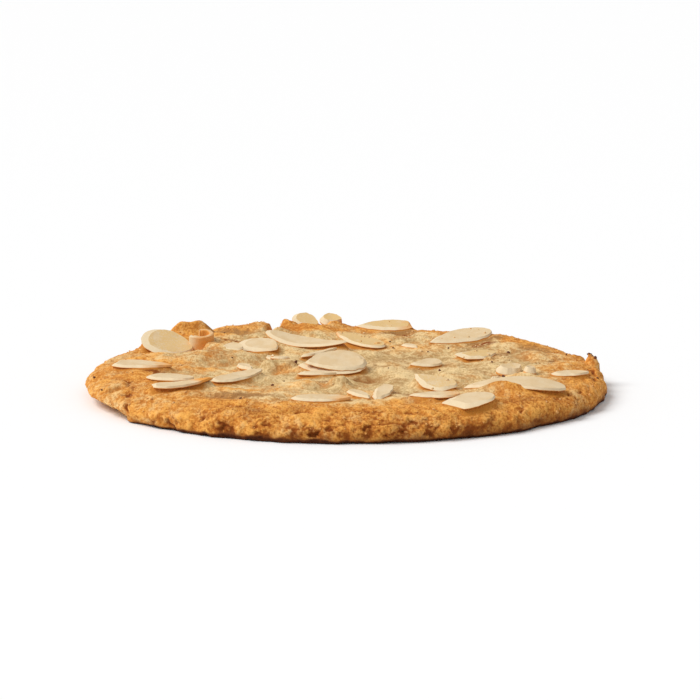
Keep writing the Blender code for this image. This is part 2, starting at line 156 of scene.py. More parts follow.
cameraPlace = {
    "distance": 650,  # from the middle of the cookie
    "above": 10.796,  # degrees over the table
    "down": 9.879,  # degrees that it looks down
    "sideways": 0.902,
    "lens": 132.76,
}
light = {
    "sky": 0.50,  # even white light from all round
    "sun": 2.45,
    "sunFrom": (-0.64, -0.11, 0.76),  # the way to the sun: high on the left, a little to the front
    "sunWidth": 40,  # degrees, for soft shadows
    "table": (0.93, 0.93, 0.93),
    "tableSize": 9.0,  # metres
    "tableDrop": 0.03,  # how far the table lies under the cookie's foot
}


def makeCamera(place):
    above = math.radians(place["above"])
    made = bpy.data.objects.new("camera", bpy.data.cameras.new("camera"))
    made.data.lens = place["lens"]
    made.location = (
        place["sideways"] * mm,
        -place["distance"] * math.cos(above) * mm,
        place["distance"] * math.sin(above) * mm,
    )
    made.rotation_euler = (math.radians(90 - place["down"]), 0, 0)
    bpy.context.scene.collection.objects.link(made)
    bpy.context.scene.camera = made


def makeStage(setup):
    world = bpy.data.worlds.new("softWhite")
    world.use_nodes = True
    sky = world.node_tree.nodes["Background"]
    sky.inputs["Color"].default_value = (1, 1, 1, 1)
    sky.inputs["Strength"].default_value = setup["sky"]
    bpy.context.scene.world = world
    sun = bpy.data.objects.new("sun", bpy.data.lights.new("sun", "SUN"))
    sun.data.energy = setup["sun"]
    sun.data.angle = math.radians(setup["sunWidth"])
    sun.rotation_euler = Vector(setup["sunFrom"]).to_track_quat("Z", "Y").to_euler()
    bpy.context.scene.collection.objects.link(sun)
    half, low = setup["tableSize"] / 2, -setup["tableDrop"] * mm
    mesh = bpy.data.meshes.new("table")
    corners = [(-half, -half, low), (half, -half, low), (half, half, low), (-half, half, low)]
    mesh.from_pydata(corners, [], [(0, 1, 2, 3)])
    paint = bpy.data.materials.new("tableWhite")
    paint.use_nodes = True
    shader = paint.node_tree.nodes["Principled BSDF"]
    shader.inputs["Base Color"].default_value = (*setup["table"], 1)
    shader.inputs["Roughness"].default_value = 0.8
    shader.inputs["Specular IOR Level"].default_value = 0.1
    mesh.materials.append(paint)
    table = bpy.data.objects.new("table", mesh)
    bpy.context.scene.collection.objects.link(table)
    bpy.context.scene.view_settings.view_transform = "Standard"


makeCamera(cameraPlace)
makeStage(light)
print("camera, table and light ready")


class Nodes:  # short words for building a material's node tree
    def __init__(self, name):
        self.material = bpy.data.materials.new(name)
        self.material.use_nodes = True
        self.tree = self.material.node_tree
        self.shader = self.tree.nodes["Principled BSDF"]
        self.object = self.tree.nodes.new("ShaderNodeTexCoord").outputs["Object"]
        self.place = self.stretched(0.72)

    def link(self, value, socket):
        if isinstance(value, bpy.types.NodeSocket):
            self.tree.links.new(value, socket)
        else:
            socket.default_value = (*value, 1) if isinstance(value, tuple) and len(value) == 3 else value

    def stretched(self, share):  # places for a texture that is longer from front to back
        node = self.tree.nodes.new("ShaderNodeVectorMath")
        node.operation = "MULTIPLY"
        self.link(self.object, node.inputs[0])
        node.inputs[1].default_value = (1, share, 1)
        return node.outputs[0]

    def noise(self, size, detail=2.0, rough=0.5, warp=0.0, place=None):  # lumps of this size in mm
        node = self.tree.nodes.new("ShaderNodeTexNoise")
        self.link(place or self.place, node.inputs["Vector"])
        node.inputs["Scale"].default_value = 1 / (size * mm)
        node.inputs["Detail"].default_value = detail
        node.inputs["Roughness"].default_value = rough
        node.inputs["Distortion"].default_value = warp
        return node.outputs["Fac"]

    def mark(self, name):
        node = self.tree.nodes.new("ShaderNodeAttribute")
        node.attribute_name = name
        return node.outputs["Fac"]

    def maths(self, kind, first, second=0.0):
        node = self.tree.nodes.new("ShaderNodeMath")
        node.operation = kind
        self.link(first, node.inputs[0])
        self.link(second, node.inputs[1])
        return node.outputs[0]

    def total(self, *values):
        added = values[0]
        for value in values[1:]:
            added = self.maths("ADD", added, value)
        return added

    def ramp(self, value, start, end, low=0.0, high=1.0):
        node = self.tree.nodes.new("ShaderNodeMapRange")
        node.interpolation_type = "SMOOTHSTEP"
        for part, socket in zip((value, start, end, low, high), node.inputs):
            self.link(part, socket)
        return node.outputs[0]

    def mix(self, share, first, second):
        node = self.tree.nodes.new("ShaderNodeMix")
        node.data_type = "RGBA"
        self.link(share, node.inputs[0])
        self.link(first, node.inputs[6])
        self.link(second, node.inputs[7])
        return node.outputs[2]

    def bump(self, height, depth, under=None):  # depth in mm
        node = self.tree.nodes.new("ShaderNodeBump")
        node.inputs["Distance"].default_value = depth * mm
        node.inputs["Strength"].default_value = 1.0
        self.link(height, node.inputs["Height"])
        if under:
            self.link(under, node.inputs["Normal"])
        return node.outputs["Normal"]


doughLook = {
    "top": (0.53, 0.345, 0.145),  # pale middle, in its dips; the next, on its crests, is painted highlight mixed with random light grain
    "topBrightAndHighlight": (0.86, 0.63, 0.32),
    "rim": (0.54, 0.180, 0.025),  # golden edge; the next, on its crests, is painted highlight mixed with random light grain
    "rimBrightAndHighlight": (0.89, 0.430, 0.092),
    # painted shade: duller brown in hollows, under flakes and towards the right
    "hollow": (0.38, 0.185, 0.060),
    # painted shade in crevices, with burnt patches
    "crevice": (0.25, 0.060, 0.007),
    "caramel": (0.54, 0.205, 0.030),  # where dough browned against an almond, with painted shade under its edge
    "darkBrown": (0.19, 0.056, 0.012),  # towards its foot, in pits as painted shade, and under the cookie
    # black at the foot: painted contact shadow with the table, over a dark baked base
    "foot": (0.060, 0.014, 0.004),
    "patches": 6.0,  # sizes of the colour's unevenness
    "mottle": 1.7,
    "grain": 0.52,
    "sand": 0.26,
    "mottleDepth": 0.20,  # and depths of the fine relief
    "grainDepth": 0.20,
    "sandDepth": 0.05,
}


def doughMaterial(look):
    n = Nodes("bakedDough")
    patches = n.noise(look["patches"], 3, 0.6, 0.6)
    mottle = n.noise(look["mottle"], 3, 0.65, 0.3)
    long = n.stretched(0.5)
    grain = n.noise(look["grain"], 3, 0.65, 0, long)
    sand = n.noise(look["sand"], 2, 0.6, 0, long)
    uneven = n.total(n.ramp(patches, 0.3, 0.7, -0.28, 0.28), n.ramp(mottle, 0.35, 0.65, 0.16, -0.16))
    browning = n.maths("ADD", n.mark("browning"), uneven)
    fine = n.total(n.ramp(mottle, 0.36, 0.64, -0.32, 0.32), n.ramp(grain, 0.34, 0.66, -0.45, 0.45))
    # lighter on the relief's crests, a painted highlight, and in random light grain
    lift = n.total(n.maths("MULTIPLY", n.mark("crest"), 0.5), fine)
    share = n.ramp(lift, -0.8, 0.8)
    colour = n.mix(n.ramp(browning, 0.0, 1.0), n.mix(share, look["top"], look["topBrightAndHighlight"]),
                   n.mix(share, look["rim"], look["rimBrightAndHighlight"]))
    # painted shade in hollows and on the right, with random dull mottle
    colour = n.mix(n.ramp(n.maths("ADD", n.mark("hollow"), n.ramp(mottle, 0.3, 0.7, 0.2, -0.3)), 0.0, 1.1),
                   colour, look["hollow"])
    # painted shade in crevices, with burnt patches and random dark grain
    deep = n.maths("ADD", n.mark("crevice"), n.ramp(grain, 0.25, 0.55, 0.20, -0.12))
    colour = n.mix(n.ramp(deep, 0.05, 1.0), colour, look["crevice"])
    # real caramel beside the flakes, with painted shade under their edges
    colour = n.mix(n.mark("caramel"), colour, look["caramel"])
    # darker down to the foot and in pits, the pits painted shade, then black: partly painted contact shadow
    low = n.maths("ADD", n.mark("foot"), n.ramp(mottle, 0.3, 0.7, -0.12, 0.12))
    colour = n.mix(n.ramp(low, 0.0, 0.8), colour, look["darkBrown"])
    colour = n.mix(n.ramp(low, 0.65, 1.05), colour, look["foot"])
    n.link(colour, n.shader.inputs["Base Color"])
    n.link(n.ramp(grain, 0.3, 0.7, 0.94, 0.70), n.shader.inputs["Roughness"])
    n.shader.inputs["Specular IOR Level"].default_value = 0.12
    coarse = n.bump(grain, look["grainDepth"], n.bump(mottle, look["mottleDepth"]))
    n.link(n.bump(sand, look["sandDepth"], coarse), n.shader.inputs["Normal"])
    return n.material


almondLook = {
    "face": (0.765, 0.592, 0.370),
    "faceDark": (0.72, 0.525, 0.295),
    "band": (0.80, 0.648, 0.425),
    "toast": (0.80, 0.345, 0.068),
    "burn": (0.36, 0.12, 0.025),
    "dust": (0.73, 0.49, 0.21),
    "clouds": 3.0,
    "fibre": 0.45,
}


def almondMaterial(look):
    n = Nodes("almond")
    clouds = n.noise(look["clouds"], 3, 0.6)
    fibre = n.noise(look["fibre"], 3, 0.6)
    face = n.mix(n.ramp(clouds, 0.35, 0.65), look["face"], look["faceDark"])
    colour = n.mix(n.mark("band"), face, look["band"])
    colour = n.mix(n.ramp(fibre, 0.3, 0.7, 0.0, 0.22), colour, look["faceDark"])
    toast = n.maths("ADD", n.mark("toast"), n.ramp(clouds, 0.3, 0.7, -0.10, 0.10))
    colour = n.mix(n.ramp(toast, 0.08, 0.95), colour, look["toast"])
    colour = n.mix(n.ramp(n.mark("toast"), 0.9, 1.6), colour, look["burn"])
    dusted = n.maths("ADD", n.mark("dust"), n.ramp(fibre, 0.3, 0.7, -0.25, 0.25))
    colour = n.mix(n.ramp(dusted, 0.25, 0.8), colour, look["dust"])
    n.link(colour, n.shader.inputs["Base Color"])
    n.link(n.ramp(fibre, 0.3, 0.7, 0.55, 0.72), n.shader.inputs["Roughness"])
    n.shader.inputs["Specular IOR Level"].default_value = 0.18
    n.link(n.bump(fibre, 0.05, n.bump(clouds, 0.12)), n.shader.inputs["Normal"])
    return n.material


crumbLook = {
    "pale": (0.76, 0.58, 0.33),
    "gold": (0.74, 0.37, 0.105),
    "dark": (0.135, 0.032, 0.010),
    "grain": 0.35,
}


def crumbMaterial(look):
    n = Nodes("crumbs")
    grain = n.noise(look["grain"], 2, 0.6)
    colour = n.mix(n.ramp(n.mark("tone"), 0.0, 1.0), look["pale"], look["gold"])
    colour = n.mix(n.ramp(grain, 0.3, 0.7, 0.0, 0.35), colour, look["gold"])
    colour = n.mix(n.ramp(n.mark("tone"), 1.1, 2.0), colour, look["dark"])
    n.link(colour, n.shader.inputs["Base Color"])
    n.link(n.ramp(grain, 0.3, 0.7, 0.7, 0.9), n.shader.inputs["Roughness"])
    n.link(n.bump(grain, 0.06), n.shader.inputs["Normal"])
    return n.material


doughPaint = doughMaterial(doughLook)
almondPaint = almondMaterial(almondLook)
crumbPaint = crumbMaterial(crumbLook)
print("materials ready")

# Where the almond flakes lie: x, y of the middle, length, width, direction of the pointed end, lift over the
# dough, pitch, roll, curl of the ends, point (0 round, 1 sharp) and chop of the blunt end, as in the solids.
# bend bows it sideways, bevel is the widest of its sloping edge and slant the side of that, from above.
# toast browns the pointed end (+) or the blunt one (-), dust is dough on it, sunk its depth in the dough.


def flake(x, y, length, width, turn, lift=0.4, pitch=0, roll=0, curl=0.0, point=0.35, chop=1.0, **more):
    made = dict(x=x, y=y, length=length, width=width, turn=turn, lift=lift, pitch=pitch, roll=roll)
    made.update(curl=curl, point=point, chop=chop, thick=0.66, bend=0.0, bevel=1.1, slant=215)
    made.update(toast=0.0, dust=0.0, sunk=0.12)
    made.update(more)
    return made


flakes = {
    "flake_back_left": flake(-46.7, 26.0, 13.7, 13.7, -10, -0.5, -13.5, 15, 0.2, 0.45, bevel=1.9, slant=200,
                             toast=0.3, dust=0.65),
    "flake_left_edge": flake(-51.3, -4, 16.5, 7.4, -16, 0.3, 0, 3, 0.0, 0.8, 0.85, toast=0.6),
    "flake_left_upper": flake(-42.8, -20.5, 12.3, 6.5, -18, 0.4, 0, 2),
    "flake_left_lower": flake(-39.8, -30, 16, 5.2, 14, 0.5, 4, 2, 0.5, 0.5, 0.85, bend=-0.7, toast=1.0,
                              slant=110, bevel=1.4),
    "flake_left_long": flake(-26.5, -14.8, 18, 7.0, 52, 0.7, 1, 1, 0.3, 0.5, bend=0.5),
    "sliver_left": flake(-25.2, -4.3, 7.8, 2.8, -62, 0.9, 0, 0, 0.0, 0.5, thick=1.0),
    "flake_inner_left": flake(-22.8, 24.2, 13.0, 9.8, -44, 0.5, -3, 10, 0.0, 0.5, bevel=2.4, slant=190,
                              toast=0.1),
    "flake_back_large": flake(-10.5, 33.2, 25, 8.8, -31, 0.0, -2, 3, 1.5, 0.3, slant=225, bend=-1.2,
                              bevel=1.7),
    "sliver_middle": flake(-7.0, 18.8, 14.5, 3.2, 52, 0.5, 0, -6, 0.0, 0.6),
    "flake_middle_third": flake(-7.6, -10.3, 10.6, 5.4, -10, 0.35, 0, -3, 0.0, 0.8, 0.8, slant=200,
                                bevel=1.6),
    "flake_middle_lower": flake(-3.7, -2.0, 17.2, 12.0, 176, 1.1, 0, -9.5, 0.0, 0.6, slant=250, bevel=1.6),
    "flake_middle_upper": flake(-2.7, -1.4, 15.8, 12.6, 196, 2.1, 1, -11.5, 0.0, 0.7, slant=265, bevel=1.0),
    "flake_front_middle": flake(-5.9, -45.5, 14, 6.8, -4, 0.3, 0, 1, 0.0, 0.4, toast=0.55, dust=0.3),
    "sliver_front": flake(3.1, -41, 9.0, 3.6, -58, 0.4, -2, 0, 0.0, 0.6),
    "flake_front_upright": flake(8.5, -36, 12.5, 4.5, 256, 0.4, -6, 0, 0.2, 0.6, bevel=1.5, slant=190),
    "flake_right_shield": flake(21.0, -25.3, 14, 7.9, 129, 1.1, 7, -6, 0.0, 0.9, 0.9, dust=0.6,
                                bevel=1.5, slant=215),
    "flake_front_right": flake(20.7, -43.4, 12.0, 5.6, 182, 0.4, 0, -1, 0.0, 0.7, toast=-0.5),
    "flake_rim_front": flake(28.7, -48.9, 15.4, 9.6, 43, 0.6, 5, 2, -0.3, 0.2, 0.7, bevel=2.6, slant=238),
    "flake_right_long": flake(40.4, -30.5, 24.5, 9.2, 178, 0.1, 0, -6, -1.5, 0.8, bend=0.6),
    "flake_right_edge": flake(55.2, -12, 9.6, 5.0, 12, 0.4, 0, 2, 0.0, 0.3),
    "flake_right_dusted": flake(33.4, 14.0, 12.0, 8.2, 35, 0.8, 0, 4, 0, 0.4, 0.9, toast=0.3, dust=0.8,
                                bevel=1.8, slant=190),
    "flake_back_right": flake(30.0, 36.0, 19.6, 9.8, 215, -0.3, -4, -6, 0.2, 0.6, dust=0.3, bevel=1.4,
                              slant=250),
    "sliver_right": flake(20, 2.8, 8.6, 5.2, 200, 0.5, 0, -8, 0.0, 0.7, sunk=0.2),
    "flake_back_rim": flake(10.5, 55.5, 15.8, 10, 186, 0.5, 0, -5, 0.0, 0.6, 0.9, toast=-0.7, dust=0.8,
                            slant=260, bevel=2.2),
    "flake_back_dusted": flake(3.2, 35.4, 21, 8.0, 124, 0.4, 3, 0, 0.0, 0.6, toast=0.5, dust=0.85),
    "flake_standing": flake(-11.2, 57.0, 7.4, 5.6, -14, 0.6, -14, 24, 0.0, 0.3, toast=0.4, dust=0.75),
}
edgeShape = {
    "bulge": 0.3,  # how much a sharp flake's sides fill out
    "rough": 0.35,  # depth of the outline's waves
    "roughScale": (3, 3, 7.3),
    "nick": 0.16,  # and of its small nicks
    "nickSize": 1.1,
    "step": 4.0,  # degrees between the places that its distance is measured from
}


def inFrame(piece, x, y):  # along the length and across the width of a piece
    turn = math.radians(piece["turn"])
    dx, dy = x - piece["x"], y - piece["y"]
    return dx * math.cos(turn) + dy * math.sin(turn), dy * math.cos(turn) - dx * math.sin(turn)


def spread(piece, x, y):  # 0 at the middle, 1 on the ellipse of its size
    along, across = inFrame(piece, x, y)
    return np.hypot(2 * along / piece["length"], 2 * across / piece["width"])


def outline(one, turn):  # an egg with a pointed end, the other end cut square, and broken edges
    along = 0.5 * one["length"] * np.maximum(-one["chop"], np.cos(turn))
    sharpen = np.abs(np.sin(turn / 2)) ** one["point"] * (1 + edgeShape["bulge"] * one["point"])
    place = np.stack([np.cos(turn), np.sin(turn), 0 * turn + one["x"]], 1) * edgeShape["roughScale"]
    across = (0.5 * one["width"] * sharpen + edgeShape["rough"] * waves(place, 1)) * np.sin(turn)
    broken = np.stack([along, across, 0 * turn + one["x"]], 1)
    along = along + edgeShape["nick"] * waves(broken, edgeShape["nickSize"], (4, 0, 2))
    across = across + edgeShape["nick"] * waves(broken, edgeShape["nickSize"], (0, 7, 1))
    return along, across + one["bend"] * (1 - (2 * along / one["length"]) ** 2)


def pastEdge(one, x, y):  # how far outside a flake's outline, negative inside
    turn = np.radians(np.arange(0, 360, edgeShape["step"]))
    edgeAlong, edgeAcross = outline(one, turn)
    facing = np.arctan2(edgeAcross, edgeAlong)
    along, across = inFrame(one, x, y)
    reach = np.interp(np.arctan2(across, along), facing, np.hypot(edgeAlong, edgeAcross), period=2 * math.pi)
    return np.hypot(along, across) - reach


dough = {  # lists of pairs give a value by direction, and swells are as swellsAt reads them
    "edgeRadius": 65.0,
    "widestAt": 2.6,
    "shoulderDepth": 15.0,
    "shoulderPower": 2.2,
    "middleHeight": 5.7,
    "levelRadius": 24.0,
    "edgeWave": 0.5,
    "wavesRound": 2.2,
    "topSkin": ((11.0, 0.55), (5.0, 0.35)),
    "edgeSkin": ((10.0, 0.9), (5.0, 0.85)),
    "skinSeed": (31.7, 8.2, 4.9),
    "edgeShare": [(0, 1), (150, 1), (176, 0.35), (200, 0.5), (225, 1), (330, 1)],  # of the edge's skin
    "notch": dict(  # the split in the back rim
        line=[(-22.0, 35, 0), (-20.2, 44, 0), (-19.2, 50, 0), (-19.5, 55, 0), (-19.5, 68, 0)],
        half=1.9, depth=4.8, start=42, ramp=11, ragged=(2.6, 0.8),
    ),
    "lip": dict(direction=217.0, width=10.0, reach=2.6, start=30, ramp=40),  # thin, at the left foot
    "rimHeights": [
        (0, 6.9), (8, 7.0), (20, 6.8), (33, 7.3), (44, 8.2), (54, 7.8), (68, 7.4), (86, 7.6), (104, 8.9),
        (122, 9.5), (138, 8.6), (158, 7.5), (180, 6.8), (210, 6.3), (285, 6.4), (320, 6.5),
    ],
    "footTuck": [  # how far the foot lies in from the widest place
        (0, 0.8), (60, 1.2), (120, 1.8), (155, 5), (180, 8.4), (206, 8.8), (224, 2), (270, 1.4), (320, 0.8),
    ],
    "swells": {
        "backLeftLump": (-42.4, 40.4, 17.5, 12, 25, 3.1, 0.25),
        "backRidgeHollow": (-30, 41, 24, 11, -20, -1.4),
        "leftMound": (-34, 12, 34, 22, 15, 1.1),
        "leftFrontMound": (-33, -28, 26, 14, -25, 0.6),
        "frontLeftHollow": (-29, -40, 24, 10, -20, -0.8),
        "coveredFlakeRise": (-19.5, 2, 14, 9, 20, 0.9),
        "hollowByCoveredFlake": (-13, -8, 10, 6, 30, -0.5),
        "middleLump": (-1.5, -23, 11, 9, 0, 0.8),
        "middleHollow": (5, -13, 14, 9, -25, -1.1),
        "backMiddleRise": (-12, 53, 18, 8, 0, 0.6),
        "backBrownLump": (-2.5, 56, 10, 7, 0, 0.9),
        "backDarkHollow": (14, 46, 12, 10, 10, -1.5),
        "backRightMound": (16, 37, 16, 12, 0, 0.8),
        "hollowUnderRightFlake": (33, 29.5, 19, 10, 20, -1.4),
        "rightMound": (24, 8, 26, 16, 30, 0.4),
        "rightBackMound": (45, 26, 18, 12, -40, 0.6),
        "rightFrontLump": (40, -31, 24, 15, -20, 1.5),
        "frontRightShelf": (16, -43, 30, 10, 0, 0.5),
        "rightEndShoulder": (64, 0, 16, 7, 90, 2.6),
        "rightEndDip": (54, 19, 11, 7, 60, -0.3),
        "leftRimPit": (-55.5, -24, 10, 6, 60, -1.3),
        "frontPitLeft": (-34.5, -52.5, 8, 7, 0, -0.8),
        "frontPitMiddle": (-11, -56, 10, 6, 10, -0.8),
        "frontPitRight": (38, -48.5, 9, 7, 30, -0.9),
    },
    "blocks": {  # broken bits of crust that stand up whatever the slope under them
        "rightEnd": (63.3, 8.6, 6.5, 5.4, 80, 2.7, 0.65),
        "rightEndBack": (59.5, 15.5, 7, 5, 60, 0.9, 0.3),
        "leftLumpBack": (-40.5, 41.2, 13, 8, 0, 0.7, 0.55),
        "leftLumpSide": (-45.2, 38.8, 7.5, 7, 0, 1.3, 0.4),
        "leftMoundTop": (-32.5, 11, 27, 18, 20, 0.9, 0.2),
        "leftMoundBack": (-33.5, 20, 9, 7, 0, 0.6, 0.5),
        "frontOfBackLeft": (-48.5, 18, 17, 8, -14, -1.5, 0.4),
        "coveredPlate": (-17.2, 1.6, 10.5, 8.0, 20, 1.3, 0.65),
        "middleLumpTop": (-1.8, -20.5, 7.5, 7.5, 0, 1.5, 0.4),
        "middleLeftLump": (-9.5, -22, 8, 8, 0, 0.8, 0.45),
        "rightLowMound": (15, -8, 14, 10, 10, 0.5, 0.5),
        "rightOfShieldRise": (30, -12, 13, 9, 0, 0.45, 0.5),
        "rightBackRidge": (47, 13, 12, 8, -30, 0.6, 0.5),
        "frontLeftRidge": (-20, -47, 26, 5, -8, 0.5, 0.4),
        "ridgeByNotch": (-15.5, 53.5, 7, 7, 0, 0.9, 0.4),
        "ridgeLeftOfNotch": (-24.0, 51.0, 7, 7, 0, 0.4, 0.3),
    },
    "covers": {  # dough that laps over a flake
        "overRightLong": (37, -34.5, 15, 7, -8, 1.7),
        "overBackDusted": (8.5, 30, 6, 3, 20, 0.9),
        "overRightDusted": (36.5, 10.5, 5, 3, 40, 0.9),
    },
    "shoulderLength": 1.25,  # against its depth
    "footSteps": 10,  # rings between the widest place and the foot
    "spacing": 0.48,  # between mesh points on the top
    "edgeSpacing": 0.43,  # and on the shoulder and the edge
    "baseSpacing": 1.2,
}


def skin(points, layers):
    return sum(depth * waves(points, size, dough["skinSeed"]) for size, depth in layers)


def swellsAt(points, swells):  # each has x, y, length, width, direction, height and perhaps a level share
    total = np.zeros(len(points))
    for x, y, length, width, turn, height, *level in swells.values():
        share = spread(dict(x=x, y=y, length=length, width=width, turn=turn), *points.T[:2])
        if level:
            total += height * (1 - fade(share, level[0], 1))
        else:
            total += height * np.clip(1 - share**2, 0, 1) ** 2
    return total


def edgeRadius(angle):
    turn = np.radians(angle)
    place = np.stack([np.cos(turn), np.sin(turn), 0 * turn], 1) * dough["wavesRound"]
    return dough["edgeRadius"] + dough["edgeWave"] * waves(place, 1, dough["skinSeed"])


def nearLine(points, line):  # distance to a line through several places
    closest = np.full(len(points), farOff)
    for start, end in zip(np.array(line[:-1], float), np.array(line[1:], float)):
        run = end - start
        share = np.clip((points - start) @ run / (run @ run), 0, 1)
        closest = np.minimum(closest, np.linalg.norm(points - start - share[:, None] * run, axis=1))
    return closest


def notchShare(points):  # 1 along the bottom of the split in the back rim, 0 beside it
    notch = dough["notch"]
    places = pushed(points * [1, 1, 0], *notch["ragged"]) * [1, 1, 0]
    split = np.clip(1 - nearLine(places, notch["line"]) / notch["half"], 0, 1)
    return split * ease((polar(points)[1] - notch["start"]) / notch["ramp"])


def topHeight(x, y):
    points = np.stack([x, y, 0 * x], 1)
    angle, radius = polar(points)
    crest = byDirection(dough["rimHeights"], angle)
    start = edgeRadius(angle) - dough["shoulderDepth"]
    lean = np.clip((radius - start) / dough["shoulderDepth"], 0, 1)
    drop = (1 - lean ** dough["shoulderPower"]) ** (1 / dough["shoulderPower"])
    low, middle = dough["widestAt"], dough["middleHeight"]
    onShoulder = low + (crest - low) * drop
    onTop = middle + (crest - middle) * fade(radius, dough["levelRadius"], start)
    rises = skin(points, dough["topSkin"]) + swellsAt(points, dough["swells"])
    rises -= dough["notch"]["depth"] * notchShare(points)
    return np.where(lean > 0, onShoulder, onTop) + (1 - lean**4) * rises


def underside(one, x, y):
    along, across = inFrame(one, x, y)
    tilt = along * math.tan(math.radians(one["pitch"])) + across * math.tan(math.radians(one["roll"]))
    return one["seat"] + tilt + one["curl"] * (2 * along / one["length"]) ** 2


for one in flakes.values():
    one["seat"] = topHeight(np.array([float(one["x"])]), np.array([float(one["y"])]))[0] + one["lift"]

bed = {  # how the dough holds a flake
    "support": (0.8, 1.14),  # shares of the flake's size between which the dough leaves its underside
    "pressedRound": 1.9,  # how far outside the flake it stays low
    "bankSlope": 1.2,  # and how steeply it may rise beyond
    "gap": 0.06,
}


def bedded(x, y, height):  # the dough rises to meet each flake and stays below its edge
    height = height.copy()
    for one in reversed(list(flakes.values())):
        share = spread(one, x, y)
        outside = np.hypot(x - one["x"], y - one["y"]) * (1 - 1 / np.maximum(1, share))
        near = outside < 2 * bed["pressedRound"]
        under = underside(one, x, y)
        raised = height + (under + one["sunk"] - height) * (1 - fade(share, *bed["support"]))
        bank = bed["bankSlope"] * np.maximum(0, outside - bed["pressedRound"])
        limit = under - bed["gap"] + one["sunk"] + bank
        limit = np.where(share < bed["support"][0], under + one["sunk"], limit)
        height = np.where(near, np.minimum(raised, limit), height)
    return height


relief = {
    "push": (3.0, 1.1),  # size and reach of the unevenness of the lumps below
    "rimLumps": [(6.5, 0.17), (2.9, 0.14), (1.4, 0.12)],  # size and depth
    "rimGrain": (0.85, 0.20),
    "topWaves": [(8.5, 0.75), (4.2, 0.36), (2.0, 0.13), (0.9, 0.08)],
    "topLumps": [(2.2, 0.06), (1.2, 0.03)],
    "topStretch": (1, 0.7, 1),  # its waves are longer from front to back
    "rimFrom": (47, 55),  # the top's relief gives way to the rim's between these radii
    "byFlakes": (-0.3, 1.0),  # it comes in between these distances outside a flake
    "lumpsByFlakes": (0, 3.5),  # and stands out between these, so that no lump hides a flake's edge
    "lostInSplit": 0.8,  # share of it that the split in the rim loses
    "cleanFoot": 1.8,  # below this height it fades
    "atFoot": 0.25,  # to this share
    "roughness": [
        (0, 0.55), (60, 0.7), (90, 0.6), (125, 0.3), (165, 0.5), (215, 0.6), (240, 0.95), (285, 1),
        (310, 0.6),
    ],
    "raggedSize": 0.95,  # of what frays the edges of patches, pits and cracks
    "patches": dict(  # burnt: size, depth, where noise turns into them, and the heights they come in between
        size=2.8, depth=0.2, noise=(0.10, 0.42), below=(6.0, 3.2), ragged=0.25,
        share=[(0, 0.2), (90, 0.4), (170, 0.2), (215, 0.3), (240, 0.9), (280, 1.0), (300, 0.6), (325, 0.3)],
    ),
    "pits": dict(
        size=2.7, depth=0.62, noise=(0.24, 0.50), below=(6.2, 3.0), ragged=0.28,
        share=[(0, 0.3), (90, 0.5), (170, 0.3), (215, 0.3), (245, 1.0), (280, 1.0), (296, 0.45), (315, 0.3)],
    ),
    "holes": {  # place, radius and depth of pits that stand out
        "leftHigh": (-53.4, -15.5, 6.2, 1.3, 0.8),
        "leftMiddle": (-52.6, -24.5, 5.9, 1.9, 1.2),
        "leftLow": (-52.4, -30.5, 5.5, 1.7, 1.1),
        "leftFoot": (-52.3, -38.0, 3.2, 1.2, 0.8),
        "frontLeftHole": (-40.5, -49.9, 1.1, 1.8, 0.7),
        "frontLeftSmall": (-32.9, -51.3, 5.1, 0.9, 0.5),
        "frontPit": (-10.5, -62.9, 4.2, 2.2, 0.4),
        "frontPitRight": (-4.8, -61.2, 5.0, 1.7, 0.4),
        "rightPit": (15.3, -61.3, 4.6, 1.6, 0.4),
        "rightPitLow": (20.3, -61.7, 2.3, 2.2, 0.5),
        "rightFoot": (28.4, -58.6, 1.7, 2.0, 0.5),
        "rightRimPit": (41.0, -47.7, 4.7, 1.6, 0.7),
    },
    "furrows": {  # cracks along a line of places, with half width and depth
        "left": (
            [(-53.2, -14.7, 6.2), (-51.9, -26.4, 5.9), (-51.9, -35.8, 4.7), (-52.3, -39.5, 3)], 0.6, 0.8),
        "frontLeft": ([(-32, -36, 6.3), (-26, -39.5, 6.0), (-20, -43, 6.0)], 0.6, 0.25),
        "right": ([(47, 1.5, 6.4), (50.8, 5.7, 6.7), (54, 7.5, 6.8), (53.5, 11, 6.8)], 0.45, 0.6),
        "middle": ([(1, -12.5, 5), (5.1, -14.2, 5), (11, -16.5, 5)], 0.5, 0.9),
        "rightEnd": ([(60.5, 11.5, 7.5), (61, 3, 7), (61.8, -5, 6), (61, -13, 5)], 0.5, 0.6),
        "leftEdge": ([(-59, 16, 6.0), (-61.6, 5, 5.2), (-61.6, -6, 4.6), (-59.5, -15, 4.4)], 0.35, 0.35),
        "rightRim": ([(50, -36, 5.5), (56, -28, 5.5), (60, -18, 4.6)], 0.35, 0.35),
    },
}


topKind, shoulderKind, footKind, baseKind = range(4)


def doughRings():  # kind, share of the way along it, and number of points, from the middle to the foot
    rings = []
    level, depth = dough["edgeRadius"] - dough["shoulderDepth"], dough["shoulderDepth"]
    steps = round(level / dough["spacing"])
    for step in range(1, steps + 1):
        count = max(6, round(2 * math.pi * level * step / steps / dough["spacing"]))
        rings.append((topKind, step / steps, count))
    steps = round(dough["shoulderLength"] * depth / dough["edgeSpacing"])
    for step in range(steps):
        share = ((step + 1) / steps) ** 0.9
        lean = math.sin(math.radians(90 * share)) ** (2 / dough["shoulderPower"])
        spacing = dough["spacing"] + (dough["edgeSpacing"] - dough["spacing"]) * lean
        radius = dough["edgeRadius"] - depth * (1 - lean)
        rings.append((shoulderKind, share, round(2 * math.pi * radius / spacing)))
    around = round(2 * math.pi * dough["edgeRadius"] / dough["edgeSpacing"])
    steps = dough["footSteps"]
    return rings + [(footKind, (step + 1) / steps, around) for step in range(steps)]


